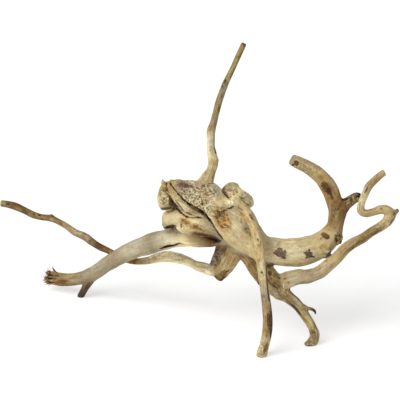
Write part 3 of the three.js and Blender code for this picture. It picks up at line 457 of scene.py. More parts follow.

# Marks and painted shade with a clear edge: as stains, but ending in how deep each is sunk, in
# millimetres.
MARKS_AND_SHADE = (
    ("stem", [
        (75.6, 104.4, 3.4, 1.3, 35, BROWN, 0.5), (80.4, 107, 3.6, 1.5, -14, BROWN, 0.5),
        (76.6, 101.2, 3.6, 1, -42, MAROON, 0.3), (81, 102.6, 6.2, 4.6, -30, PLUM, 0.5),
        (84.6, 104, 2.2, 2.6, 10, PLUM, 0.3), (83.8, 98.4, 2.4, 1.8, -20, MAROON, 0.3),
        (109, 101.8, 4, 3.6, 0, BARK, 0.7), (112.4, 99.6, 3, 1.2, -10, BARK, 0.4),
        (105.4, 103.4, 2.2, 1.4, 20, SOOT, 0.3), (109.4, 106, 1.4, 1.8, 0, BARK, 0.3),
        (106.6, 98.6, 1.8, 1.2, 30, RUST, 0.2), (128, 118.8, 2.4, 2.6, 15, BARK, 0.5),
        (125.2, 120.2, 4.8, 3.4, -12, COCOA, 0.4), (120.6, 117.6, 1.4, 1.6, 0, UMBER, 0.3),
        (133.4, 127, 2, 1.6, 0, ROSE, 0.2), (129, 163.8, 5, 2.4, -62, MAROON, 0.5),
        (123.6, 171.4, 2.8, 1.6, -40, MAROON, 0.3), (124.8, 170.4, 5.2, 3.8, -48, COCOA, 0.4),
        (128.4, 165, 4.8, 3.4, -72, MAROON, 0.6), (124, 166.6, 3.6, 1, -52, BROWN, 0.2),
        (132, 158, 1.8, 3, 10, SOOT, 0.3), (131.6, 171, 3, 1, -52, UMBER, 0.2),
        (96.4, 193, 3, 3.4, 0, MAROON, 0.3), (93, 191, 1.8, 1.2, -20, BARK, 0.2),
        (105, 190.5, 4, 0.7, -35, OCHRE, 0.1), (111, 187, 4, 0.7, -25, OCHRE, 0.1),
        (108, 184.6, 4, 0.6, -40, UMBER, 0.1), (129.6, 101, 4, 3.6, 20, BARK, 0.3),
        (123.5, 102, 3.4, 1.6, 10, OLIVE, 0.1), (141, 119.4, 1.2, 1.2, 0, SOOT, 0.4),
        (139, 114.6, 1, 1.2, 0, BROWN, 0.3), (137, 118.2, 0.9, 1.2, 0, UMBER, 0.3),
        (139.6, 111.4, 1.2, 0.9, 0, OLIVE, 0.3), (145.5, 157, 4.6, 1.5, 10, BARK, 0.3),
        (141, 150.5, 4.6, 2, 25, BROWN, 0.3), (151.6, 156, 1.6, 2.6, 15, SOOT, 0.4),
        (155, 160.6, 2.6, 1.2, 25, ROSE, 0), (157.6, 157, 2, 1.2, 30, TAN, 0),
        (148, 153, 2.6, 1.2, 30, PINK, 0), (137, 146.5, 3, 1.6, 20, SOOT, 0.3),
        (133.5, 140, 1.8, 1.2, 0, BROWN, 0.3), (135.4, 128.6, 2, 1, 20, ROSE, 0.2)]),
    ("leg", [
        (68.4, 37, 9, 1.6, 90, MAROON, 0), (72, 31, 20, 3.2, 91, BARK, 0),
        (70.4, 60, 24, 1.6, -86, PLUM, 0), (67.2, 76, 24, 0.9, -86, SOOT, 0.3),
        (62, 83.3, 1.6, 1.2, 90, BARK, 0.3), (66, 8, 6, 2.4, 66, BROWN, 0),
        (51, 138, 5, 0.6, -62, BROWN, 0.2), (58, 116, 3, 0.7, -70, BARK, 0.2),
        # The brown mark at across 46 paints shade in the dimple.
        (46, 127, 2.4, 1.2, -50, BROWN, 0.3), (66.5, 21, 4, 1, 88, BROWN, 0.1),
        (62, 1.5, 5, 1.4, 0, DUSK, 0), (40, 147.4, 5, 0.8, -28, BROWN, 0.4),
        # The umber mark at across 47.5 paints shade in the dimple.
        (52, 139, 5, 1.1, -50, PLUM, 0.3), (47.5, 124, 3, 2.4, -60, UMBER, 0),
        (41.4, 135, 1, 4, 0, UMBER, 0.2)]),
    ("right", [
        (69, 90, 2.6, 2, 0, SOOT, 0.3), (70, 83, 2.4, 3, 0, SOOT, 0.3),
        (79, 78, 2.4, 1, -20, SOOT, 0.2), (76, 68.6, 4, 1, -30, MAROON, 0.2),
        (92.5, 50, 5, 0.9, -50, MAROON, 0.2), (97, 46, 8, 1.3, -50, BARK, 0.2),
        (58.5, 72, 2, 2, 0, BARK, 0), (113, 24, 3.4, 1.6, -40, BROWN, 0.2),
        (74.5, 73, 2.6, 1.6, 30, BROWN, 0.3), (79, 70, 2.4, 1, -20, RUST, 0.3),
        (71, 77, 1.6, 1.2, 0, BROWN, 0.2), (83.5, 72, 8, 0.6, 88, PALE, 0),
        (117.6, 20, 0.8, 7, 5, EARTH, 0.1), (108, 9.6, 4, 1.6, 0, SOOT, 0.2),
        (109, 13.4, 2, 1.2, 0, BROWN, 0.1), (105, 36, 1.6, 0.8, -50, BROWN, 0.2)]),
    ("crook", [
        (166.4, 166, 5, 1, 62, BARK, 0.2), (85, 77.4, 2.2, 1.2, 20, UMBER, 0.3),
        # The brown lines at across 152, 163 and 176 paint shade along the crooked root's underside.
        (88.4, 73.4, 1.6, 1, 0, BROWN, 0.2), (152, 107.5, 3.4, 1, 35, BROWN, 0.1),
        (163, 114.6, 4, 0.9, 30, BROWN, 0.1), (176, 123.4, 7, 0.9, 33, BROWN, 0.1),
        (181.4, 147.6, 1.6, 1.2, 0, BROWN, 0.2), (191.5, 134, 5, 0.8, 60, BROWN, 0.2),
        (160, 150, 6, 0.7, 85, UMBER, 0), (194, 142, 2.4, 1, 60, BROWN, 0.2),
        (178, 177, 5, 0.7, 42, BROWN, 0.1), (132, 92, 3, 0.8, 40, ROSE, 0.1),
        (126, 95, 2, 1, 30, UMBER, 0.1)]),
    ("twig", [
        (15.7, 206, 5.5, 1.1, 96, BARK, 0.3), (25.3, 275.4, 1.2, 2.6, -15, BARK, 0.3),
        (18.8, 248, 1.1, 4, -12, RUST, 0.1), (21, 259, 0.8, 5, -14, BROWN, 0),
        (31.5, 281, 0.8, 8, -28, BROWN, 0), (9.5, 226, 2, 1.2, 60, UMBER, 0),
        (40.5, 300, 0.9, 9, -26, BROWN, 0), (44.4, 311, 2, 2.4, 0, SOOT, 0),
        (14.5, 232, 0.7, 5, -10, BROWN, 0)]),
    ("thin", [
        (-192, 152, 1.9, 1.2, 0, BARK, 0.2), (-185, 150.5, 2.4, 2, 0, RUST, 0.1),
        (-180, 149, 1.6, 1, -30, RUST, 0.1), (-196, 153, 2, 1, 0, DUSK, 0.1),
        (-166, 141.6, 2, 1.1, -20, BARK, 0.2), (-160.5, 140.5, 2, 1, -15, BARK, 0.2),
        (-148.3, 140, 3.2, 1.4, -10, BROWN, 0), (-139, 132.3, 2, 1.1, -30, BROWN, 0.2),
        (-122, 119.6, 6, 1.1, -25, OLIVE, 0.1), (-102, 110.6, 2.6, 2, 0, RUST, 0.1),
        (-66.5, 96, 7, 1.4, 4, BROWN, 0.3), (-110, 115, 2, 1.2, -40, BROWN, 0.1),
        (-172, 145.6, 4, 0.8, -25, BROWN, 0), (-99, 106, 3, 1, -30, BROWN, 0.1),
        (-92, 103, 4, 1, -28, BROWN, 0), (-20, 96, 6, 0.6, 0, UMBER, 0)]),
    ("stub", [
        (15, 78.4, 2.2, 2, 0, BARK, 0.4), (24, 77.5, 2.4, 1.6, 40, BARK, 0.4),
        (21, 80.6, 8, 4.2, 35, EARTH, 0.3), (27, 84.6, 2.4, 1.4, 30, BARK, 0),
        (21, 76, 3, 1.4, 20, BARK, 0), (14.5, 109, 1.6, 1.2, 30, BARK, 0.3),
        (16.5, 99, 1.2, 2, 0, BARK, 0.3), (17, 106, 1, 1.6, 0, BARK, 0.3),
        (11, 96, 1.6, 1, 0, BARK, 0.3), (28, 92, 6, 0.7, 55, UMBER, 0.1),
        (34, 96, 7, 0.6, 55, BROWN, 0.1)]),
    ("under", [
        # These marks paint the dark shade in the crevice under the bar.
        (17, 116, 5, 2.6, -25, BARK, 0.3), (7, 120, 15, 2, -14, MAROON, 0.3)]),
    ("arm", [
        (-141, 81.4, 8, 1.4, -4, EARTH, 0.3), (-138, 78, 7, 0.8, -4, UMBER, 0.2),
        (-129, 80.6, 6, 0.9, 6, OLIVE, 0.1), (-136, 75, 8, 0.8, -3, MAROON, 0.2),
        (-122, 80.4, 5, 0.7, 12, DRAB, 0.1), (-146, 77.6, 4, 1, 0, MAROON, 0.3),
        (-100, 83, 6, 0.8, 35, DUSK, 0.1), (-54, 117.6, 5, 1, 15, OLIVE, 0.2),
        (-62, 101, 10, 0.7, 25, OLIVE, 0), (-70, 110, 8, 0.5, 25, DUSK, 0)]),
    ("foot", [
        (-121, 56, 4, 2.6, 65, BARK, 0), (-113.5, 69, 7, 0.9, 62, BARK, 0.1)]),
    ("cap", [
        (-16, 170.4, 7, 2.6, -12, PLUM, 0.3), (-8.5, 169.6, 3, 1.6, -30, PLUM, 0.3),
        # The brown line at across 11 paints shade in the crease at the foot of the twig.
        (11, 172.6, 4, 0.9, 8, BROWN, 0.3), (-2, 168, 3, 1.2, -30, PLUM, 0.3),
        (4, 171, 2, 1, 0, RUST, 0.3)]),
    ("core", [
        (20, 141, 2.4, 1.2, -60, RUST, 0.4), (24, 136, 2, 1, -40, RUST, 0.4),
        (18, 134, 2, 1.1, -60, RUST, 0.4), (27, 141, 1.6, 1, 0, RUST, 0.4),
        (22, 129, 2.2, 1, -70, RUST, 0.4), (15, 139, 1.6, 1.1, 0, BROWN, 0.4),
        # The bark and rust marks at across 31 and 25 paint the shadow under the ledge; the plum
        # mark at across 1 paints the shade in the crack under the cap.
        (31, 148.4, 4.5, 1.2, 28, BARK, 0.3), (25, 145.4, 3, 1, 20, RUST, 0.3),
        (1, 144.6, 5, 1.8, -35, PLUM, 0.3), (19, 143, 4, 2, -60, RUST, 0.4),
        (17.5, 139, 3, 1.3, -80, BROWN, 0.4), (22.5, 140, 3, 1.2, -40, BROWN, 0.4),
        (14, 129, 2, 0.9, -50, SOOT, 0.3), (17.5, 124, 2.2, 0.8, -60, SOOT, 0.3),
        (21, 119, 2, 0.9, -55, SOOT, 0.3)]),
    ("crown", [
        # The brown mark at across 23 paints shade in the crease on the crown's left.
        (23, 165, 5, 1.2, 80, BROWN, 0.2), (41, 158, 2.6, 0.9, -40, BROWN, 0.3),
        (47, 150, 3, 0.8, 20, BROWN, 0.2), (37, 164, 2, 1.2, 0, UMBER, 0.3),
        (35, 160.4, 3, 1, -40, BROWN, 0.3), (30.5, 165.4, 4, 0.9, -10, ROSE, 0.3),
        (33, 158, 4, 0.8, -30, BROWN, 0.2), (43, 157, 3, 0.7, 40, UMBER, 0.2)]),
    ("low", [
        # The first two brown marks paint the shade in the gap under the strip's lower edge.
        (-20.5, 150.4, 8, 1.1, -52, BROWN, 0.3), (-11, 142.4, 5, 1.2, -22, BROWN, 0.3),
        (-17, 136, 2.2, 1.4, 0, RUST, 0.2), (-4, 129, 2.4, 1.6, 0, RUST, 0.2),
        (-13, 139, 2.2, 1.2, -30, BROWN, 0.3), (1, 126, 2, 1, 0, BROWN, 0.2),
        # The bark mark at across -30 paints the shade in the slot under the knee.
        (-19, 130, 1, 3, 0, BROWN, 0.2), (-30, 129, 5, 1, 0, BARK, 0.3)]),
    ("lobe", [
        # The brown mark at across -28 paints the strip's shadow on the lobe; the bark mark at
        # across -33 and the brown one at across -37 paint the shadow under the lobe's lower edge.
        (-28, 153, 4.4, 3, 75, BROWN, 0.5), (-33, 147.4, 9, 1.5, 5, BARK, 0.4),
        (-37, 146, 4, 1.4, 0, BROWN, 0.2), (-32, 161, 5, 0.8, -50, BROWN, 0.4),
        (-36, 152, 3, 0.7, 40, BROWN, 0.3), (-30, 167, 4, 0.8, -60, BROWN, 0.4),
        (-36, 157, 3, 1, 80, BROWN, 0.3), (-34, 165, 3, 1, 60, BROWN, 0.3),
        (-31, 160, 2, 1, 0, RUST, 0.3)]),
)

# How boldly the grain is drawn, where that isn't 1.
BOLDNESS = (
    ("stem", 0.6), ("leftArm", 0.5), ("knee", 0.4), ("capCorner", 0.5), ("flap", 0.7),
    ("crookedRoot", 0.75), ("rightLeg", 1.4), ("frontLeg", 1.2), ("thinRoot", 1.1),
)

# Rough, pitted wood: as stains, but ending in how rough it is, and without a colour.
ROUGH = (
    ("cap", [
        (-6, 158, 25, 8.5, -36, 1.0), (9, 165, 12, 7, -20, 0.9), (-4, 163, 25, 14, -25, 0.5)]),
    ("core", [
        (22, 137, 15, 9, -60, 0.75), (-2, 135, 10, 5, -20, 0.6)]),
    ("low", [
        (-15, 134, 6, 6, 0, 0.6), (-2, 128, 10, 5, -15, 0.45)]),
    ("lobe", [
        (-33, 160, 9, 14, 0, 0.6)]),
    ("crown", [
        (30, 166, 9, 6, 0, 0.4), (45, 156, 9, 10, 0, 0.5)]),
    ("stub", [
        (13, 102, 7, 15, 10, 1.0), (20, 79, 9, 5, 35, 1.0)]),
    ("under", [
        (15, 108, 6, 10, 10, 0.8)]),
    ("stem", [
        (152, 157, 14, 8, 20, 0.9), (139, 116.5, 5, 7, 10, 1.0), (108, 188, 14, 7, -25, 0.4),
        (133, 152, 9, 20, 0, 0.25)]),
    ("leg", [
        (64, 6, 8, 7, 0, 0.5)]),
    ("crook", [
        (170, 122, 40, 6, 35, 0.35)]),
    ("right", [
        (82, 68, 14, 10, -30, 0.4), (110, 18, 8, 12, 0, 0.5)]),
    ("arm", [
        (-152, 78, 8, 8, 0, 0.8)]),
    ("twig", [
        (24, 272, 5, 6, 60, 0.6)]),
)

# Cut and weathered ends: the root, and the colour of its end.
ENDS = (
    ("stem", DUSK), ("stemStub", BARK), ("upright", SOOT), ("thinRoot", DUSK),
    ("crookedRoot", TAN), ("leftFoot", BROWN), ("crookedNub", BROWN), ("stub", BROWN),
    ("leftArm", RUST), ("frontLeg", TAN), ("rightLeg", GREY), ("stemSpur", BROWN),
)

# Broken ends: the root, how many splinters stand out of it, how long and how wide each may be,
# how far they lean out, and their colours.
BROKEN = (
    ("leftArm", 150, (1.5, 8.5), (0.4, 1.0), 0.4, (RUST, TAN, OCHRE, SAND, RUST, CREAM, MAROON)),
)

# Marks on the far side, which no photograph shows, are strewn at random.
FAR_MARKS = 46
FAR_TONES = (BROWN, PLUM, BARK, TAN, RUST, BROWN, OCHRE, OLIVE)


def on_plane(across, up):
    """A point of the plane that the roots are laid out on, which leans back."""
    return np.array([across, up * math.sin(LEAN), up * math.cos(LEAN)])


SIGHT = np.array([0.0, math.cos(LEAN), -math.sin(LEAN)])
EYE = on_plane(0, EYE_UP) - EYE_DISTANCE * SIGHT


def place(across, up, back):
    """A laid-out point in the part's frame, and how much nearer the eye makes it smaller."""
    seen = on_plane(across, up)
    share = (back - EYE[1]) / (seen[1] - EYE[1])
    return EYE + share * (seen - EYE) - MIDDLE, share


def seen_from_front(points):
    """Where points show on the plane that the roots are laid out on: across and up."""
    spots = points + MIDDLE
    depth = (spots - EYE) @ SIGHT
    seen = EYE + (spots - EYE) * (EYE_DISTANCE / depth)[:, None]
    return seen[:, 0], seen @ on_plane(0, 1)


def smooth(low, high, value):
    share = np.clip((value - low) / (high - low), 0, 1)
    return share * share * (3 - 2 * share)


def between(values, low, share):
    """Values part of the way from one sample to the next."""
    return values[low] + share * (values[low + 1] - values[low])


def unit(vectors):
    return vectors / np.maximum(np.linalg.norm(vectors, axis=1), 1e-9)[:, None]


def corners(share):
    """The eight corners of the cell round each point, and how much each counts there."""
    for corner in np.ndindex(2, 2, 2):
        yield np.array(corner), np.prod(np.where(corner, share, 1 - share), axis=1)


def soft_min(a, b, soft):
    """The lower of two distances, with a fillet of about the size `soft` where they meet."""
    near = np.clip(soft - np.abs(a - b), 0, None) / soft
    return np.minimum(a, b) - near * near * soft / 4


def lattice(points, seed):
    """Smooth random values from 0 to 1, with a new one at each whole number along each axis."""
    low = np.floor(points).astype(np.int64)
    total = np.zeros(len(points))
    for corner, weight in corners(smooth(0, 1, points - low)):
        key = (low + corner) @ np.array([73856093, 19349663, 83492791]) + 971 * seed
        key = ((key ^ (key >> 13)) * 1274126177) & 0xFFFFFFFF
        key = ((key ^ (key >> 15)) * 2246822519) & 0xFFFFFFFF
        total += weight * ((key >> 8) & 0xFFFF) / 65535
    return total


class Tube:
    """A root's middle line in fine steps, with its frames and its half-width and half-depth."""

    STEP = 1.6
    END_ROUNDING = 0.8

    def __init__(self, points, flute=0.0):
        placed = [place(*p[:3]) for p in points]
        scale = np.array([share for _, share in placed])
        self.flute = flute
        self.centre, share = self.curve(np.array([spot for spot, _ in placed]))
        low = np.minimum(share.astype(int), len(points) - 2)
        ease = smooth(0, 1, share - low)
        self.width = between(np.array([p[3] for p in points]) * scale, low, ease)
        self.depth = between(np.array([p[-1] for p in points]) * scale, low, ease)
        steps = np.linalg.norm(np.diff(self.centre, axis=0), axis=1)
        self.arc = np.concatenate([[0], np.cumsum(steps)])
        self.ahead = unit(np.gradient(self.centre, axis=0))
        self.side = unit(np.cross(self.ahead, SIGHT))
        self.deep = np.cross(self.side, self.ahead)
        self.reach = max(self.width.max(), self.depth.max()) + BAND

    def curve(self, spots):
        """A centripetal Catmull-Rom curve through the spots, and each sample's place in them."""
        ends = np.vstack([2 * spots[0] - spots[1], spots, 2 * spots[-1] - spots[-2]])
        samples, shares = [], []
        for i in range(len(spots) - 1):
            p0, p1, p2, p3 = ends[i : i + 4]
            d0, d1, d2 = (np.linalg.norm(b - a) ** 0.5 for a, b in ((p0, p1), (p1, p2), (p2, p3)))
            m1 = ((p1 - p0) / d0 - (p2 - p0) / (d0 + d1) + (p2 - p1) / d1) * d1
            m2 = ((p2 - p1) / d1 - (p3 - p1) / (d1 + d2) + (p3 - p2) / d2) * d1
            count = max(2, round(d1 * d1 / self.STEP))
            last = i == len(spots) - 2
            w = np.arange(count + last)[:, None] / count
            cubic = 2 * p1 - 2 * p2 + m1 + m2
            square = -3 * p1 + 3 * p2 - 2 * m1 - m2
            samples.append(p1 + w * m1 + w**2 * square + w**3 * cubic)
            shares.append(i + w[:, 0])
        return np.vstack(samples), np.concatenate(shares)

    def box(self):
        """The corners of the space in which the root's distances are kept."""
        return (self.centre - self.reach).min(0), (self.centre + self.reach).max(0)

    def local(self, points, where):
        """Points' (along, across, deep) places beside the sample `where`, in millimetres."""
        low = np.minimum(where.astype(int), len(self.arc) - 2)
        share = where - low
        away = points - between(self.centre, low, share[:, None])
        along, x, z = (
            (away * between(frame, low, share[:, None])).sum(-1)
            for frame in (self.ahead, self.side, self.deep)
        )
        arc, width, depth = (between(v, low, share) for v in (self.arc, self.width, self.depth))
        return along, x, z, arc, width, depth

    def distance(self, points, where):
        """About how far points lie outside the root's skin, negative inside."""
        _, x, z, arc, width, depth = self.local(points, where)
        q = np.sqrt((x / width) ** 2 + (z / depth) ** 2) + 1e-6
        angle = np.arctan2(z / depth, x / width)
        turn = 0.025 * arc
        wave = 0.6 * np.cos(2 * angle + turn) + 0.4 * np.cos(5 * angle - turn)
        slope = np.sqrt((x / width**2) ** 2 + (z / depth**2) ** 2) / q + 1e-6
        skin = np.maximum((q - 1 - self.flute * wave) / slope, -np.maximum(width, depth))
        for end, sign in ((0, -1), (-1, 1)):
            beyond = sign * ((points - self.centre[end]) * self.ahead[end]).sum(-1)
            near = np.abs(arc - self.arc[end]) < self.width[end] + BAND
            skin = np.where(near, -soft_min(-skin, -beyond, self.END_ROUNDING), skin)
        return skin

    def nearest(self, points):
        """The place along the middle line, in samples, that is nearest to each point."""
        best = np.full(len(points), np.inf)
        where = np.zeros(len(points))
        for k in range(len(self.arc) - 1):
            line = self.centre[k + 1] - self.centre[k]
            away = points - self.centre[k]
            share = np.clip(away @ line / (line @ line), 0, 1)
            gap = ((away - share[:, None] * line) ** 2).sum(1)
            closer = gap < best
            best[closer] = gap[closer]
            where[closer] = k + share[closer]
        return where

    def near(self, points):
        """Which points lie in the root's box, and the place along it nearest to each."""
        low, high = self.box()
        found = np.flatnonzero(((points > low) & (points < high)).all(1))
        return found, self.nearest(points[found])


class Grid:
    """Distances to the wood's skin on a regular grid round the whole part."""

    def __init__(self, tubes):
        low = np.min([tube.box()[0] for tube in tubes], axis=0)
        high = np.max([tube.box()[1] for tube in tubes], axis=0)
        low[2] = -3 * CELL
        self.low = low
        self.shape = tuple(np.ceil((high - low) / CELL).astype(int) + 1)
        self.field = np.full(self.shape, BAND, np.float32)

    def axis(self, k, start, stop):
        return self.low[k] + CELL * np.arange(start, stop)

    def span(self, low, high):
        """The index range of the grid that covers a box."""
        start = np.maximum(np.floor((low - self.low) / CELL).astype(int), 0)
        stop = np.minimum(np.ceil((high - self.low) / CELL).astype(int) + 1, self.shape)
        return start, stop

    def stamp(self, tube, soft, hollow=False):
        """Adds a root to the wood, or cuts a hollow out of it."""
        start, stop = self.span(*tube.box())
        best = np.full(stop - start, np.inf, np.float32)
        where = np.zeros(stop - start, np.float32)
        for k in range(len(tube.arc) - 1):
            a, b = tube.centre[k], tube.centre[k + 1]
            reach = max(tube.width[k], tube.depth[k]) + BAND
            i, j = self.span(np.minimum(a, b) - reach, np.maximum(a, b) + reach)
            i, j = np.maximum(i, start), np.minimum(j, stop)
            if (j <= i).any():
                continue
            x, y, z = (self.axis(n, i[n], j[n]) - a[n] for n in range(3))
            x, y, z = x[:, None, None], y[None, :, None], z[None, None, :]
            u, v, w = b - a
            share = np.clip((x * u + y * v + z * w) / ((b - a) @ (b - a)), 0, 1)
            gap = (x - share * u) ** 2 + (y - share * v) ** 2 + (z - share * w) ** 2
            cut = tuple(slice(p - s, q - s) for p, q, s in zip(i, j, start))
            closer = gap < best[cut]
            best[cut] = np.where(closer, gap, best[cut])
            where[cut] = np.where(closer, k + share, where[cut])
        index = np.argwhere(np.isfinite(best))
        points = self.low + CELL * (index + start)
        reached = tuple(index.T)
        far = np.clip(tube.distance(points, where[reached].astype(float)), -BAND * 4, BAND)
        view = self.field[tuple(slice(p, q) for p, q in zip(start, stop))]
        if hollow:
            view[reached] = -soft_min(-view[reached], far, soft)
        else:
            view[reached] = soft_min(view[reached], far, soft)

    def cut_at_floor(self):
        height = self.axis(2, 0, self.shape[2])[None, None, :]
        self.field = np.maximum(self.field, -height).astype(np.float32)

    def at(self, points):
        """The distance at any points, from the eight grid points round each."""
        spot = (points - self.low) / CELL
        low = np.clip(np.floor(spot).astype(int), 0, np.array(self.shape) - 2)
        return sum(w * self.field[tuple((low + corner).T)] for corner, w in corners(spot - low))

    def slope(self, points):
        """The outward direction at points, as long as the distance grows per millimetre."""
        steps = np.eye(3) * CELL / 2
        return np.stack([(self.at(points + s) - self.at(points - s)) / CELL for s in steps], 1)

    def skin(self):
        """The surface where the distance is zero, as points and four-sided faces."""
        inside = self.field < 0
        cells = tuple(n - 1 for n in self.shape)
        count = np.zeros(cells, np.int8)
        for corner in np.ndindex(2, 2, 2):
            count += inside[tuple(slice(c, c + n) for c, n in zip(corner, cells))]
        mixed = (count > 0) & (count < 8)
        number = np.full(cells, -1, np.int32)
        cell = np.argwhere(mixed)
        number[mixed] = np.arange(len(cell))
        return self.low + CELL * self.crossings(cell), self.faces(inside, number)

    def crossings(self, cell):
        """For each cell, the middle of the places where the skin crosses its edges."""
        total = np.zeros((len(cell), 3))
        hits = np.zeros(len(cell))
        for axis in range(3):
            for corner in np.ndindex(2, 2, 2):
                if corner[axis]:
                    continue
                a = cell + corner
                b = a.copy()
                b[:, axis] += 1
                fa, fb = self.field[tuple(a.T)], self.field[tuple(b.T)]
                crossed = (fa < 0) != (fb < 0)
                share = np.where(crossed, fa / np.where(crossed, fa - fb, 1), 0)
                total += np.where(crossed[:, None], a + share[:, None] * (b - a), 0)
                hits += crossed
        return total / hits[:, None]

    def faces(self, inside, number):
        """A face round each edge of the grid that the skin crosses, with its front outward."""
        faces = []
        for axis in range(3):
            u, v = (axis + 1) % 3, (axis + 2) % 3
            first, second = [slice(1, -1)] * 3, [slice(1, -1)] * 3
            first[axis] = slice(0, -1)
            second[axis] = slice(1, None)
            a, b = inside[tuple(first)], inside[tuple(second)]
            for change, order in ((a & ~b, 1), (b & ~a, -1)):
                base = np.argwhere(change)
                base[:, [u, v]] += 1
                ring = []
                for du, dv in ((-1, -1), (0, -1), (0, 0), (-1, 0))[::order]:
                    near = base.copy()
                    near[:, u] += du
                    near[:, v] += dv
                    ring.append(number[tuple(near.T)])
                faces.append(np.stack(ring, 1))
        return np.vstack(faces)


def largest_body(points, faces):
    """The points and faces of the largest connected shell."""
    body = np.arange(len(points))
    settled = False
    while not settled:
        lower = body.copy()
        np.minimum.at(lower, faces.ravel(), np.repeat(body[faces].min(1), 4))
        lower = lower[lower]
        settled = (lower == body).all()
        body = lower
    kept = body == np.bincount(body).argmax()
    number = np.cumsum(kept) - 1
    return points[kept], number[faces[kept[faces].all(1)]]


def tone_along(colours, share):
    """The colour at a share of a root's length, from colours spread evenly along it."""
    step = np.clip(share, 0, 1) * (len(colours) - 1)
    low = np.minimum(step.astype(int), len(colours) - 2)
    return between(np.array(colours), low, (step - low)[:, None])


class Surface:
    """What is known at each point of the skin: the roots near it, their grain and its colour."""

    # The distance given to roots out of reach, and how fast a root's share falls off, in mm.
    FAR = 99.0
    FADE = 1.2

    def __init__(self, tubes, points, normals):
        self.tubes = tubes
        self.names = list(tubes)
        self.points = points
        self.normals = normals
        self.gap = np.full((len(tubes), len(points)), self.FAR)
        places = []
        for i, tube in enumerate(tubes.values()):
            near, where = tube.near(points)
            self.gap[i, near] = tube.distance(points[near], where)
            places.append((near, where))
        weight = np.exp(-(self.gap - self.gap.min(0)) / self.FADE)
        weight[self.gap == self.FAR] = 0
        self.weight = weight / weight.sum(0)
        self.tone = np.zeros((len(points), 3))
        self.radius = np.zeros(len(points))
        self.run = np.zeros((len(points), 3))
        for part, (name, tube), (near, where) in zip(self.weight, tubes.items(), places):
            part = part[near]
            along = np.interp(where, np.arange(len(tube.arc)), tube.arc) / tube.arc[-1]
            self.tone[near] += part[:, None] * tone_along(ROOTS[name][3], along)
            self.radius[near] += part * np.interp(where, np.arange(len(tube.arc)), tube.width)
            self.run[near] += part[:, None] * tube.ahead[np.round(where).astype(int)]
        self.grain, self.mix = self.grains()
        self.across, self.up = seen_from_front(points)
        self.front = -normals @ SIGHT
        self.facing = smooth(*FRONT_EDGE, self.front)

    def grains(self):
        """For each set of roots, places along and across the grain, and the set's share."""
        grains, shares = [], []
        for number, group in enumerate(GRAIN_SETS):
            members = [i for i, name in enumerate(self.names) if ROOTS[name][2] in group]
            shares.append(self.weight[members].sum(0))
            nearest = self.gap[members].argmin(0)
            grain = np.zeros((len(self.points), 3))
            for k, i in enumerate(members):
                source = ROOTS[self.names[i]][2]
                mine = np.flatnonzero((nearest == k) & (self.gap[i] < self.FAR))
                if len(mine) == 0:
                    continue
                tube, points = self.tubes[source], self.points[mine]
                along, x, z, arc, _, _ = tube.local(points, tube.nearest(points))
                # Each root's grain starts at a place of its own in the noise.
                offset = 400.0 * number + 97.0 * group.index(source)
                grain[mine] = np.stack([arc + along + offset, x, z], 1)
            grains.append(grain)
        mix = np.stack(shares, 1)
        return grains, mix / mix.sum(1)[:, None]

    def streaks(self, long, wide, seed):
        """Random values from 0 to 1 that run along the grain."""
        size = np.array([long, wide, wide])
        return sum(m * lattice(g / size, seed) for g, m in zip(self.grain, self.mix.T))

    def share_of(self, *names):
        """How far each point belongs to the named roots."""
        return sum(self.weight[self.names.index(name)] for name in names)

    def share_of_group(self, group):
        """How far each point belongs to a group's roots, on the side that faces the front."""
        return np.clip(1.6 * self.share_of(*GROUPS[group]), 0, 1) * self.facing

    def blot(self, across, up, long, wide, turn):
        """How far points lie from a spot's middle as seen from the front, 1 at its edge."""
        angle = math.radians(turn)
        dx = self.across - across
        dy = self.up - up
        along = dx * math.cos(angle) + dy * math.sin(angle)
        beside = dy * math.cos(angle) - dx * math.sin(angle)
        return np.hypot(along / long, beside / wide)

    def paint_over(self, share, colour):
        self.tone += share[:, None] * (np.array(colour) - self.tone)

    def lay_stains_and_shade(self):
        """Lays the soft stains and painted shade over the roots' own colours, and then their ends.
        """
        for group, spots in STAINS_AND_SHADE:
            share = self.share_of_group(group)
            for *spot, colour, strength in spots:
                self.paint_over(strength * (share * (1 - smooth(*STAIN_EDGE, self.blot(*spot)))), colour)
        for root, colour in ENDS:
            tube = self.tubes[root]
            beyond = (self.points - tube.centre[-1]) @ tube.ahead[-1]
            self.paint_over(self.share_of(root) * smooth(*CUT_EDGE, beyond), colour)

    def roughness(self):
        """How rough and pitted the wood is, up to 1."""
        rough = FAR_ROUGHNESS * self.share_of("burl", "backRidge") * (1 - self.facing)
        for group, spots in ROUGH:
            share = self.share_of_group(group)
            for *spot, strength in spots:
                part = share * (1 - smooth(*ROUGH_EDGE, self.blot(*spot)))
                rough = np.maximum(rough, strength * part)
        return rough


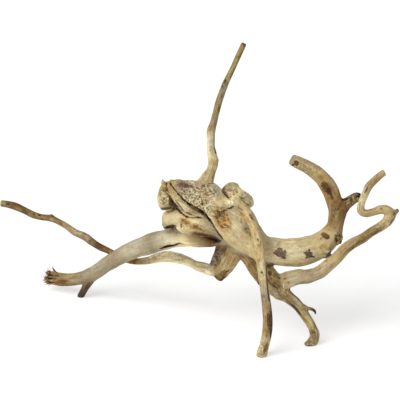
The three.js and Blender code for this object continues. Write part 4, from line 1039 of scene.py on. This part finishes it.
class MarksAndShade:
    """Knots, scars, pits and painted shade with a clear edge: how strong, of what colour and how
    deep.
    """

    # On the far side: how high above the floor the marks begin, how long and wide they can be,
    # and how deep they are sunk, in millimetres.
    ABOVE_FLOOR = 5
    LENGTHS = (2, 7)
    WIDTHS = (1, 3)
    DENT = 0.3

    def __init__(self, surface):
        self.surface = surface
        self.mark = np.zeros(len(surface.points))
        self.tone = surface.tone.copy()
        self.dents = np.zeros(len(surface.points))

    def add(self, away, share, colour, dent):
        """Lays a mark, solid inside its edge, and keeps the strongest one at each point."""
        value = np.clip(1.7 * (1.15 - away), 0, 1.5) * share
        stronger = value > self.mark
        self.mark[stronger] = value[stronger]
        self.tone[stronger] = colour
        self.dents = np.maximum(self.dents, dent * smooth(*DENT_EDGE, value))

    def lay_front(self):
        for group, spots in MARKS_AND_SHADE:
            share = self.surface.share_of_group(group)
            for *spot, colour, dent in spots:
                self.add(self.surface.blot(*spot), share, colour, dent)

    def strew_back(self):
        """Strews marks along the grain of the far side, above the feet."""
        points, run = self.surface.points, self.surface.run
        far = self.surface.facing < 0.01
        hidden = (self.surface.front < FRONT_EDGE[0]) & (points[:, 2] > self.ABOVE_FLOOR)
        chosen = chance.choice(np.flatnonzero(hidden), FAR_MARKS, replace=False)
        for number, i in enumerate(chosen):
            away = points - points[i]
            along = away @ run[i]
            beside = np.linalg.norm(away - along[:, None] * run[i], axis=1)
            long, wide = chance.uniform(*self.LENGTHS), chance.uniform(*self.WIDTHS)
            colour = FAR_TONES[number % len(FAR_TONES)]
            self.add(np.hypot(along / long, beside / wide), far, colour, self.DENT)


def carve(surface, rough, dents):
    """The finished points of the wood, with grooves, waves, pits and dents, and where pits are."""
    thick = np.clip(surface.radius / FULL_RELIEF, 0.25, 1)
    relief = GROOVE_DEPTH * thick * (surface.streaks(*GROOVE, 1) - 0.5)
    relief += WAVE_DEPTH * thick * (lattice(surface.points / WAVE, 2) - 0.5)
    pits = smooth(*PIT_EDGE, lattice(surface.points / PIT, 3))
    pits = rough * (pits * (0.5 + lattice(surface.points / PIT_PATCH, 4)))
    relief -= pits
    relief -= dents
    relief[surface.points[:, 2] < FLAT_FOOT] = 0
    carved = surface.points + relief[:, None] * surface.normals
    carved[:, 2] = np.maximum(carved[:, 2], 0)
    return carved, pits


def paint_crevice_shade(carved, surface, pits):
    """Painted shade: how closed-in each point is, from open to deep in a crack; it is painted
    darker there.
    """
    closed = [1 - grid.at(carved + reach * surface.normals) / reach for reach in CREVICE_SHADE_REACH]
    crevice_shade = np.clip(np.minimum(*closed), 0, 1)
    crevice_shade = np.clip(1.3 * crevice_shade + 0.5 * pits, 0, 1)
    # The inside of each hollow is painted with its shade.
    for inner_shade, tube in hollows:
        near, where = tube.near(surface.points)
        inside = 1 - smooth(-0.3, 0.9, tube.distance(surface.points[near], where))
        crevice_shade[near] = np.maximum(crevice_shade[near], inner_shade * inside)
    return crevice_shade


class Splinters:
    """Slivers of wood at the broken ends: closed, four-sided, tapering and a little bent."""

    # How far along a splinter each ring of its points lies, and how wide the splinter is there.
    RINGS = ((0.0, 1.0), (0.35, 0.9), (0.7, 0.6), (1.0, 0.12))
    # How deep they start, how much of the end they cover, and how much they lean and bend.
    SUNK = 2.5
    COVER = 0.92
    WOBBLE = 0.12
    BEND = 0.1

    def __init__(self, first):
        self.first = first
        self.points, self.faces, self.tones, self.grain = [], [], [], []

    def add(self, foot, ahead, flat, bend, length, width, colour):
        side = np.cross(ahead, flat)
        start = self.first + len(self.points)
        for share, size in self.RINGS:
            middle = foot + length * share * ahead + share * share * bend
            for x, z in ((1, 1), (-1, 1), (-1, -1), (1, -1)):
                self.points.append(middle + size * width * (0.5 * x * side + 0.28 * z * flat))
                # Painted shade: each splinter is darker at its sunk foot and lighter towards its
                # tip.
                self.tones.append(np.array(colour) * (0.45 + 0.6 * share))
                self.grain.append((length * share + 31 * width, x * width, z * width))
        for ring in range(len(self.RINGS) - 1):
            for k in range(4):
                a, b = start + 4 * ring + k, start + 4 * ring + (k + 1) % 4
                self.faces.append((a, b, b + 4, a + 4))
        last = start + 4 * (len(self.RINGS) - 1)
        self.faces.append((start + 3, start + 2, start + 1, start))
        self.faces.append((last, last + 1, last + 2, last + 3))

    def at_end(self, tube, count, lengths, widths, lean, colours):
        """Strews splinters over the end of a root, leaning out from its middle."""
        ahead, side, deep = tube.ahead[-1], tube.side[-1], tube.deep[-1]
        for number in range(count):
            angle = chance.uniform(0, 2 * math.pi)
            far = self.COVER * math.sqrt(chance.uniform(0, 1))
            out = math.cos(angle) * side + math.sin(angle) * deep
            foot = tube.centre[-1] + tube.width[-1] * far * out - self.SUNK * ahead
            way = ahead + lean * far * out + chance.normal(0, self.WOBBLE, 3)
            way /= np.linalg.norm(way)
            flat = np.cross(way, out + 0.3 * side)
            flat /= np.linalg.norm(flat)
            length = self.SUNK + chance.uniform(*lengths)
            bend = chance.normal(0, self.BEND, 3) * length
            width = chance.uniform(*widths)
            self.add(foot, way, flat, bend, length, width, colours[number % len(colours)])

    def layer(self, name, like):
        """The splinters' values for one of the mesh's layers, which are 0 where they have none."""
        count = len(self.points)
        known = {"grain_a": self.grain, "grain_mix": [(1, 0, 0)] * count,
                 "wood_tone": self.tones, "bold": [1] * count}
        return np.array(known.get(name, np.zeros((count,) + like.shape[1:])), float)


class Value:
    """A number, vector or colour in a material's nodes, with ordinary arithmetic."""

    def __init__(self, graph, socket):
        self.graph = graph
        self.socket = socket

    def __add__(self, other):
        return self.graph.math("ADD", self, other)

    def __sub__(self, other):
        return self.graph.math("SUBTRACT", self, other)

    def __mul__(self, other):
        return self.graph.math("MULTIPLY", self, other)

    def __abs__(self):
        return self.graph.math("ABSOLUTE", self)

    def step(self, low, high, start=0.0, end=1.0):
        """Eases from start to end while this goes from low to high."""
        inputs = zip(range(5), (self, low, high, start, end))
        return self.graph.node("MapRange", inputs, interpolation_type="SMOOTHSTEP")


class Graph:
    """Short ways to make a material's nodes."""

    def __init__(self, material):
        self.tree = material.node_tree
        self.shader = self.tree.nodes["Principled BSDF"].inputs

    def set(self, socket, value):
        if isinstance(value, Value):
            self.tree.links.new(value.socket, socket)
        else:
            socket.default_value = value

    def node(self, kind, inputs=(), output=0, **settings):
        """A new node's output, with its settings and its numbered or named inputs."""
        node = self.tree.nodes.new("ShaderNode" + kind)
        for name, setting in settings.items():
            setattr(node, name, setting)
        for name, value in inputs:
            self.set(node.inputs[name], value)
        return Value(self, node.outputs[output])

    def attribute(self, name, output="Fac"):
        return self.node("Attribute", output=output, attribute_name=name)

    def math(self, operation, *values):
        return self.node("Math", enumerate(values), operation=operation)

    def noise(self, vector, scale, detail, roughness):
        spot = self.node("VectorMath", ((0, vector), (1, scale)), operation="MULTIPLY")
        inputs = {"Vector": spot, "Scale": 1, "Detail": detail, "Roughness": roughness}
        return self.node("TexNoise", inputs.items(), output="Fac")

    def mix(self, factor, a, b, blend="MIX"):
        inputs = ((0, factor), (6, a), (7, b))
        return self.node("Mix", inputs, output=2, data_type="RGBA", blend_type=blend)

    def tint(self, tone, strength, colour):
        """A tone multiplied by a colour, as far as the strength says."""
        return self.mix(strength, tone, (*colour, 1), "MULTIPLY")


def wood_material():
    """Dry wood: the tone, marks and painted shade come from the mesh, the grain and its relief from
    noise.
    """
    material = bpy.data.materials.new("root_wood")
    material.use_nodes = True
    graph = Graph(material)
    tint = graph.tint
    mix = graph.attribute("grain_mix", "Vector")
    shares = [graph.node("SeparateXYZ", ((0, mix),), output=k) for k in range(3)]
    spot = graph.node("TexCoord", output="Object")

    def along_grain(long, wide, detail, roughness):
        """Noise that runs along the grain, blended from the three sets of roots."""
        parts = []
        for name, share in zip(("grain_a", "grain_b", "grain_c"), shares):
            size = (1 / long, 1 / wide, 1 / wide)
            value = graph.noise(graph.attribute(name, "Vector"), size, detail, roughness)
            parts.append(value * share)
        return parts[0] + parts[1] + parts[2]

    def even(per_metre, detail, roughness):
        return graph.noise(spot, (per_metre,) * 3, detail, roughness)

    fine = along_grain(14, 0.7, 2, 0.5)
    lines = along_grain(26, 2.0, 3, 0.6)
    streak = along_grain(60, 6, 2, 0.5)
    cloud = even(60, 3, 0.5)
    blotch = even(150, 3, 0.6)
    mottle = even(240, 5, 0.65)
    ragged = even(420, 4, 0.6)
    crumb = even(500, 3, 0.6)
    speck = even(620, 2, 0.5)
    rough = graph.attribute("rough")
    bold = graph.attribute("bold")

    # Streaks, mottles and lines along the grain make the tone lighter or darker.
    shade = streak.step(0.3, 0.7, -0.10, 0.08) + mottle.step(0.3, 0.7, -0.15, 0.12)
    shade = shade + lines.step(0.36, 0.64, 0.12, -0.2)
    shade = shade + fine.step(0.3, 0.7, 0.10, -0.12)
    tone = graph.mix(1.0, graph.attribute("wood_tone", "Color"), shade * bold + 1.0, "MULTIPLY")

    # Broad warm and cool clouds, and brown and washed-out blotches.
    tone = tint(tone, cloud.step(0.45, 0.62, 0.0, 0.4), (0.97, 0.87, 0.68))
    tone = tint(tone, cloud.step(0.42, 0.30, 0.0, 0.4), (0.86, 0.88, 0.88))
    tone = tint(tone, blotch.step(0.52, 0.66, 0.0, 0.55) * bold, (0.68, 0.54, 0.36))
    tone = tint(tone, blotch.step(0.44, 0.32, 0.0, 0.5) * bold, (1.12, 1.14, 1.08))

    # Hair-fine checks along the grain, specks, pits with crust between them, and painted shade in
    # cracks.
    check = abs(lines - 0.47).step(0.016, 0.0) * streak.step(0.42, 0.58) * bold
    tone = tint(tone, check * 0.6, (0.32, 0.24, 0.16))
    tone = tint(tone, speck.step(0.64, 0.72, 0.0, 0.6), (0.35, 0.26, 0.18))
    pit = crumb.step(0.50, 0.41) * rough
    tone = tint(tone, pit * 0.85, (0.26, 0.17, 0.11))
    tone = tint(tone, crumb.step(0.54, 0.64) * rough * 0.6, (1.2, 1.15, 1.1))
    # Painted shade: closed-in places and the inside of cracks and hollows are darkened.
    crevice_shade = graph.attribute("crevice_shade").step(0.25, 0.95, 0.0, 0.95)
    tone = tint(tone, crevice_shade, (0.14, 0.075, 0.05))

    # Marks: their edges are frayed by the same noise as the wood round them.
    mark = graph.attribute("mark")
    frayed = (ragged - 0.5) * 2.6 + (lines - 0.5) * 0.9
    edge = mark + frayed * mark.step(0.0, 0.2)
    shade = fine.step(0.3, 0.7, 0.7, 1.25) + ragged.step(0.35, 0.65, -0.4, 0.25)
    inside = graph.mix(1.0, graph.attribute("mark_tone", "Color"), shade, "MULTIPLY")
    tone = graph.mix(edge.step(0.28, 0.6, 0.0, 0.92), tone, inside)

    relief = fine * -0.35 + lines * -0.9 + mottle * 0.9 - pit * 1.3 - check * 0.5
    bump = {"Strength": 0.8, "Distance": 0.0012, "Height": relief}
    graph.set(graph.shader["Base Color"], tone)
    graph.set(graph.shader["Roughness"], streak.step(0.3, 0.7, 0.75, 0.92))
    graph.set(graph.shader["Specular IOR Level"], 0.12)
    graph.set(graph.shader["Normal"], graph.node("Bump", bump.items()))
    return material


def added(name, data):
    """A new object in the scene."""
    thing = bpy.data.objects.new(name, data)
    bpy.context.scene.collection.objects.link(thing)
    return thing


def add_layer(mesh, name, values):
    """Stores a value, vector or colour for each point of a mesh."""
    kind, field = "FLOAT", "value"
    if name.endswith("tone"):
        values = np.hstack([values, np.ones((len(values), 1))])
        kind, field = "FLOAT_COLOR", "color"
    elif values.ndim == 2:
        kind, field = "FLOAT_VECTOR", "vector"
    layer = mesh.attributes.new(name, kind, "POINT")
    layer.data.foreach_set(field, np.ascontiguousarray(values, np.float32).ravel())


def set_inputs(material_or_world, node, values):
    """Turns on the nodes of a material or world and sets constants on one of them."""
    material_or_world.use_nodes = True
    for name, value in values.items():
        material_or_world.node_tree.nodes[node].inputs[name].default_value = value


def build_studio():
    """A pale floor, one soft sun, an even sky, and the camera at the reference view."""
    scene = bpy.context.scene
    mesh = bpy.data.meshes.new("floor")
    half = FLOOR_HALF_SIZE
    mesh.from_pydata(
        [(-half, -half, 0), (half, -half, 0), (half, half, 0), (-half, half, 0)], [], [(0, 1, 2, 3)]
    )
    pale = bpy.data.materials.new("floor")
    set_inputs(pale, "Principled BSDF", {
        "Base Color": (0.5, 0.5, 0.5, 1), "Roughness": 0.9,
        "Emission Color": (1, 1, 1, 1), "Emission Strength": FLOOR_GLOW})
    mesh.materials.append(pale)
    floor = added("floor", mesh)

    lens = bpy.data.cameras.new("camera")
    lens.lens = LENS
    lens.sensor_width = SENSOR
    lens.clip_end = CLIP_END
    scene.camera = added("camera", lens)
    scene.camera.location = (EYE - MIDDLE) * MM
    scene.camera.rotation_euler = (math.pi / 2 - LEAN, 0, 0)

    light = bpy.data.lights.new("key", "SUN")
    light.energy = SUN_STRENGTH
    light.angle = math.radians(SUN_SOFTNESS)
    sun = added("key", light)
    sun.rotation_euler = Vector(SUN_WAY).to_track_quat("-Z", "Y").to_euler()

    scene.world = bpy.data.worlds.new("studio")
    set_inputs(scene.world, "Background", {"Color": (1, 1, 1, 1), "Strength": SKY_STRENGTH})
    scene.view_settings.view_transform = "Standard"


# The form: all roots are joined into one body, the hollows are cut, and its skin is drawn.
tubes = {name: Tube(points, flute) for name, (flute, _, _, _, points) in ROOTS.items()}
# Each hollow also keeps how much shade is painted inside it.
hollows = [(inner_shade, Tube(points)) for _, inner_shade, points in HOLLOWS.values()]
grid = Grid(list(tubes.values()))
for name, root in ROOTS.items():
    grid.stamp(tubes[name], root[1])
for (soft, _, _), (_, tube) in zip(HOLLOWS.values(), hollows):
    grid.stamp(tube, soft, hollow=True)
grid.cut_at_floor()
skin, faces = largest_body(*grid.skin())
for _ in range(2):
    slope = grid.slope(skin)
    skin -= 0.7 * grid.at(skin)[:, None] * slope / np.maximum((slope**2).sum(1), 0.3)[:, None]
skin[:, 2] = np.maximum(skin[:, 2], 0)

# The finish: colours with painted shade, marks, relief and splinters.
chance = np.random.default_rng(SEED)
surface = Surface(tubes, skin, unit(grid.slope(skin)))
surface.lay_stains_and_shade()
marks = MarksAndShade(surface)
marks.lay_front()
marks.strew_back()
rough = surface.roughness()
carved, pits = carve(surface, rough, marks.dents)
layers = {
    "grain_a": surface.grain[0], "grain_b": surface.grain[1], "grain_c": surface.grain[2],
    "grain_mix": surface.mix, "wood_tone": surface.tone, "mark_tone": marks.tone,
    # Painted shade for closed-in places, pits and hollows is kept as a layer here.
    "crevice_shade": paint_crevice_shade(carved, surface, pits), "mark": marks.mark, "rough": rough,
    "bold": 1 - sum((1 - strength) * surface.share_of(name) for name, strength in BOLDNESS),
}
splinters = Splinters(len(skin))
for root, *how in BROKEN:
    splinters.at_end(tubes[root], *how)

mesh = bpy.data.meshes.new("root_wood")
points = np.vstack([carved, splinters.points])
mesh.from_pydata((points * MM).tolist(), [], faces.tolist() + splinters.faces)
mesh.shade_smooth()
wood = added("root_wood", mesh)
for name, values in layers.items():
    add_layer(mesh, name, np.concatenate([values, splinters.layer(name, values)]))
mesh.materials.append(wood_material())

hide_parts("spiderwood_root")
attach(wood, "root")
build_studio()
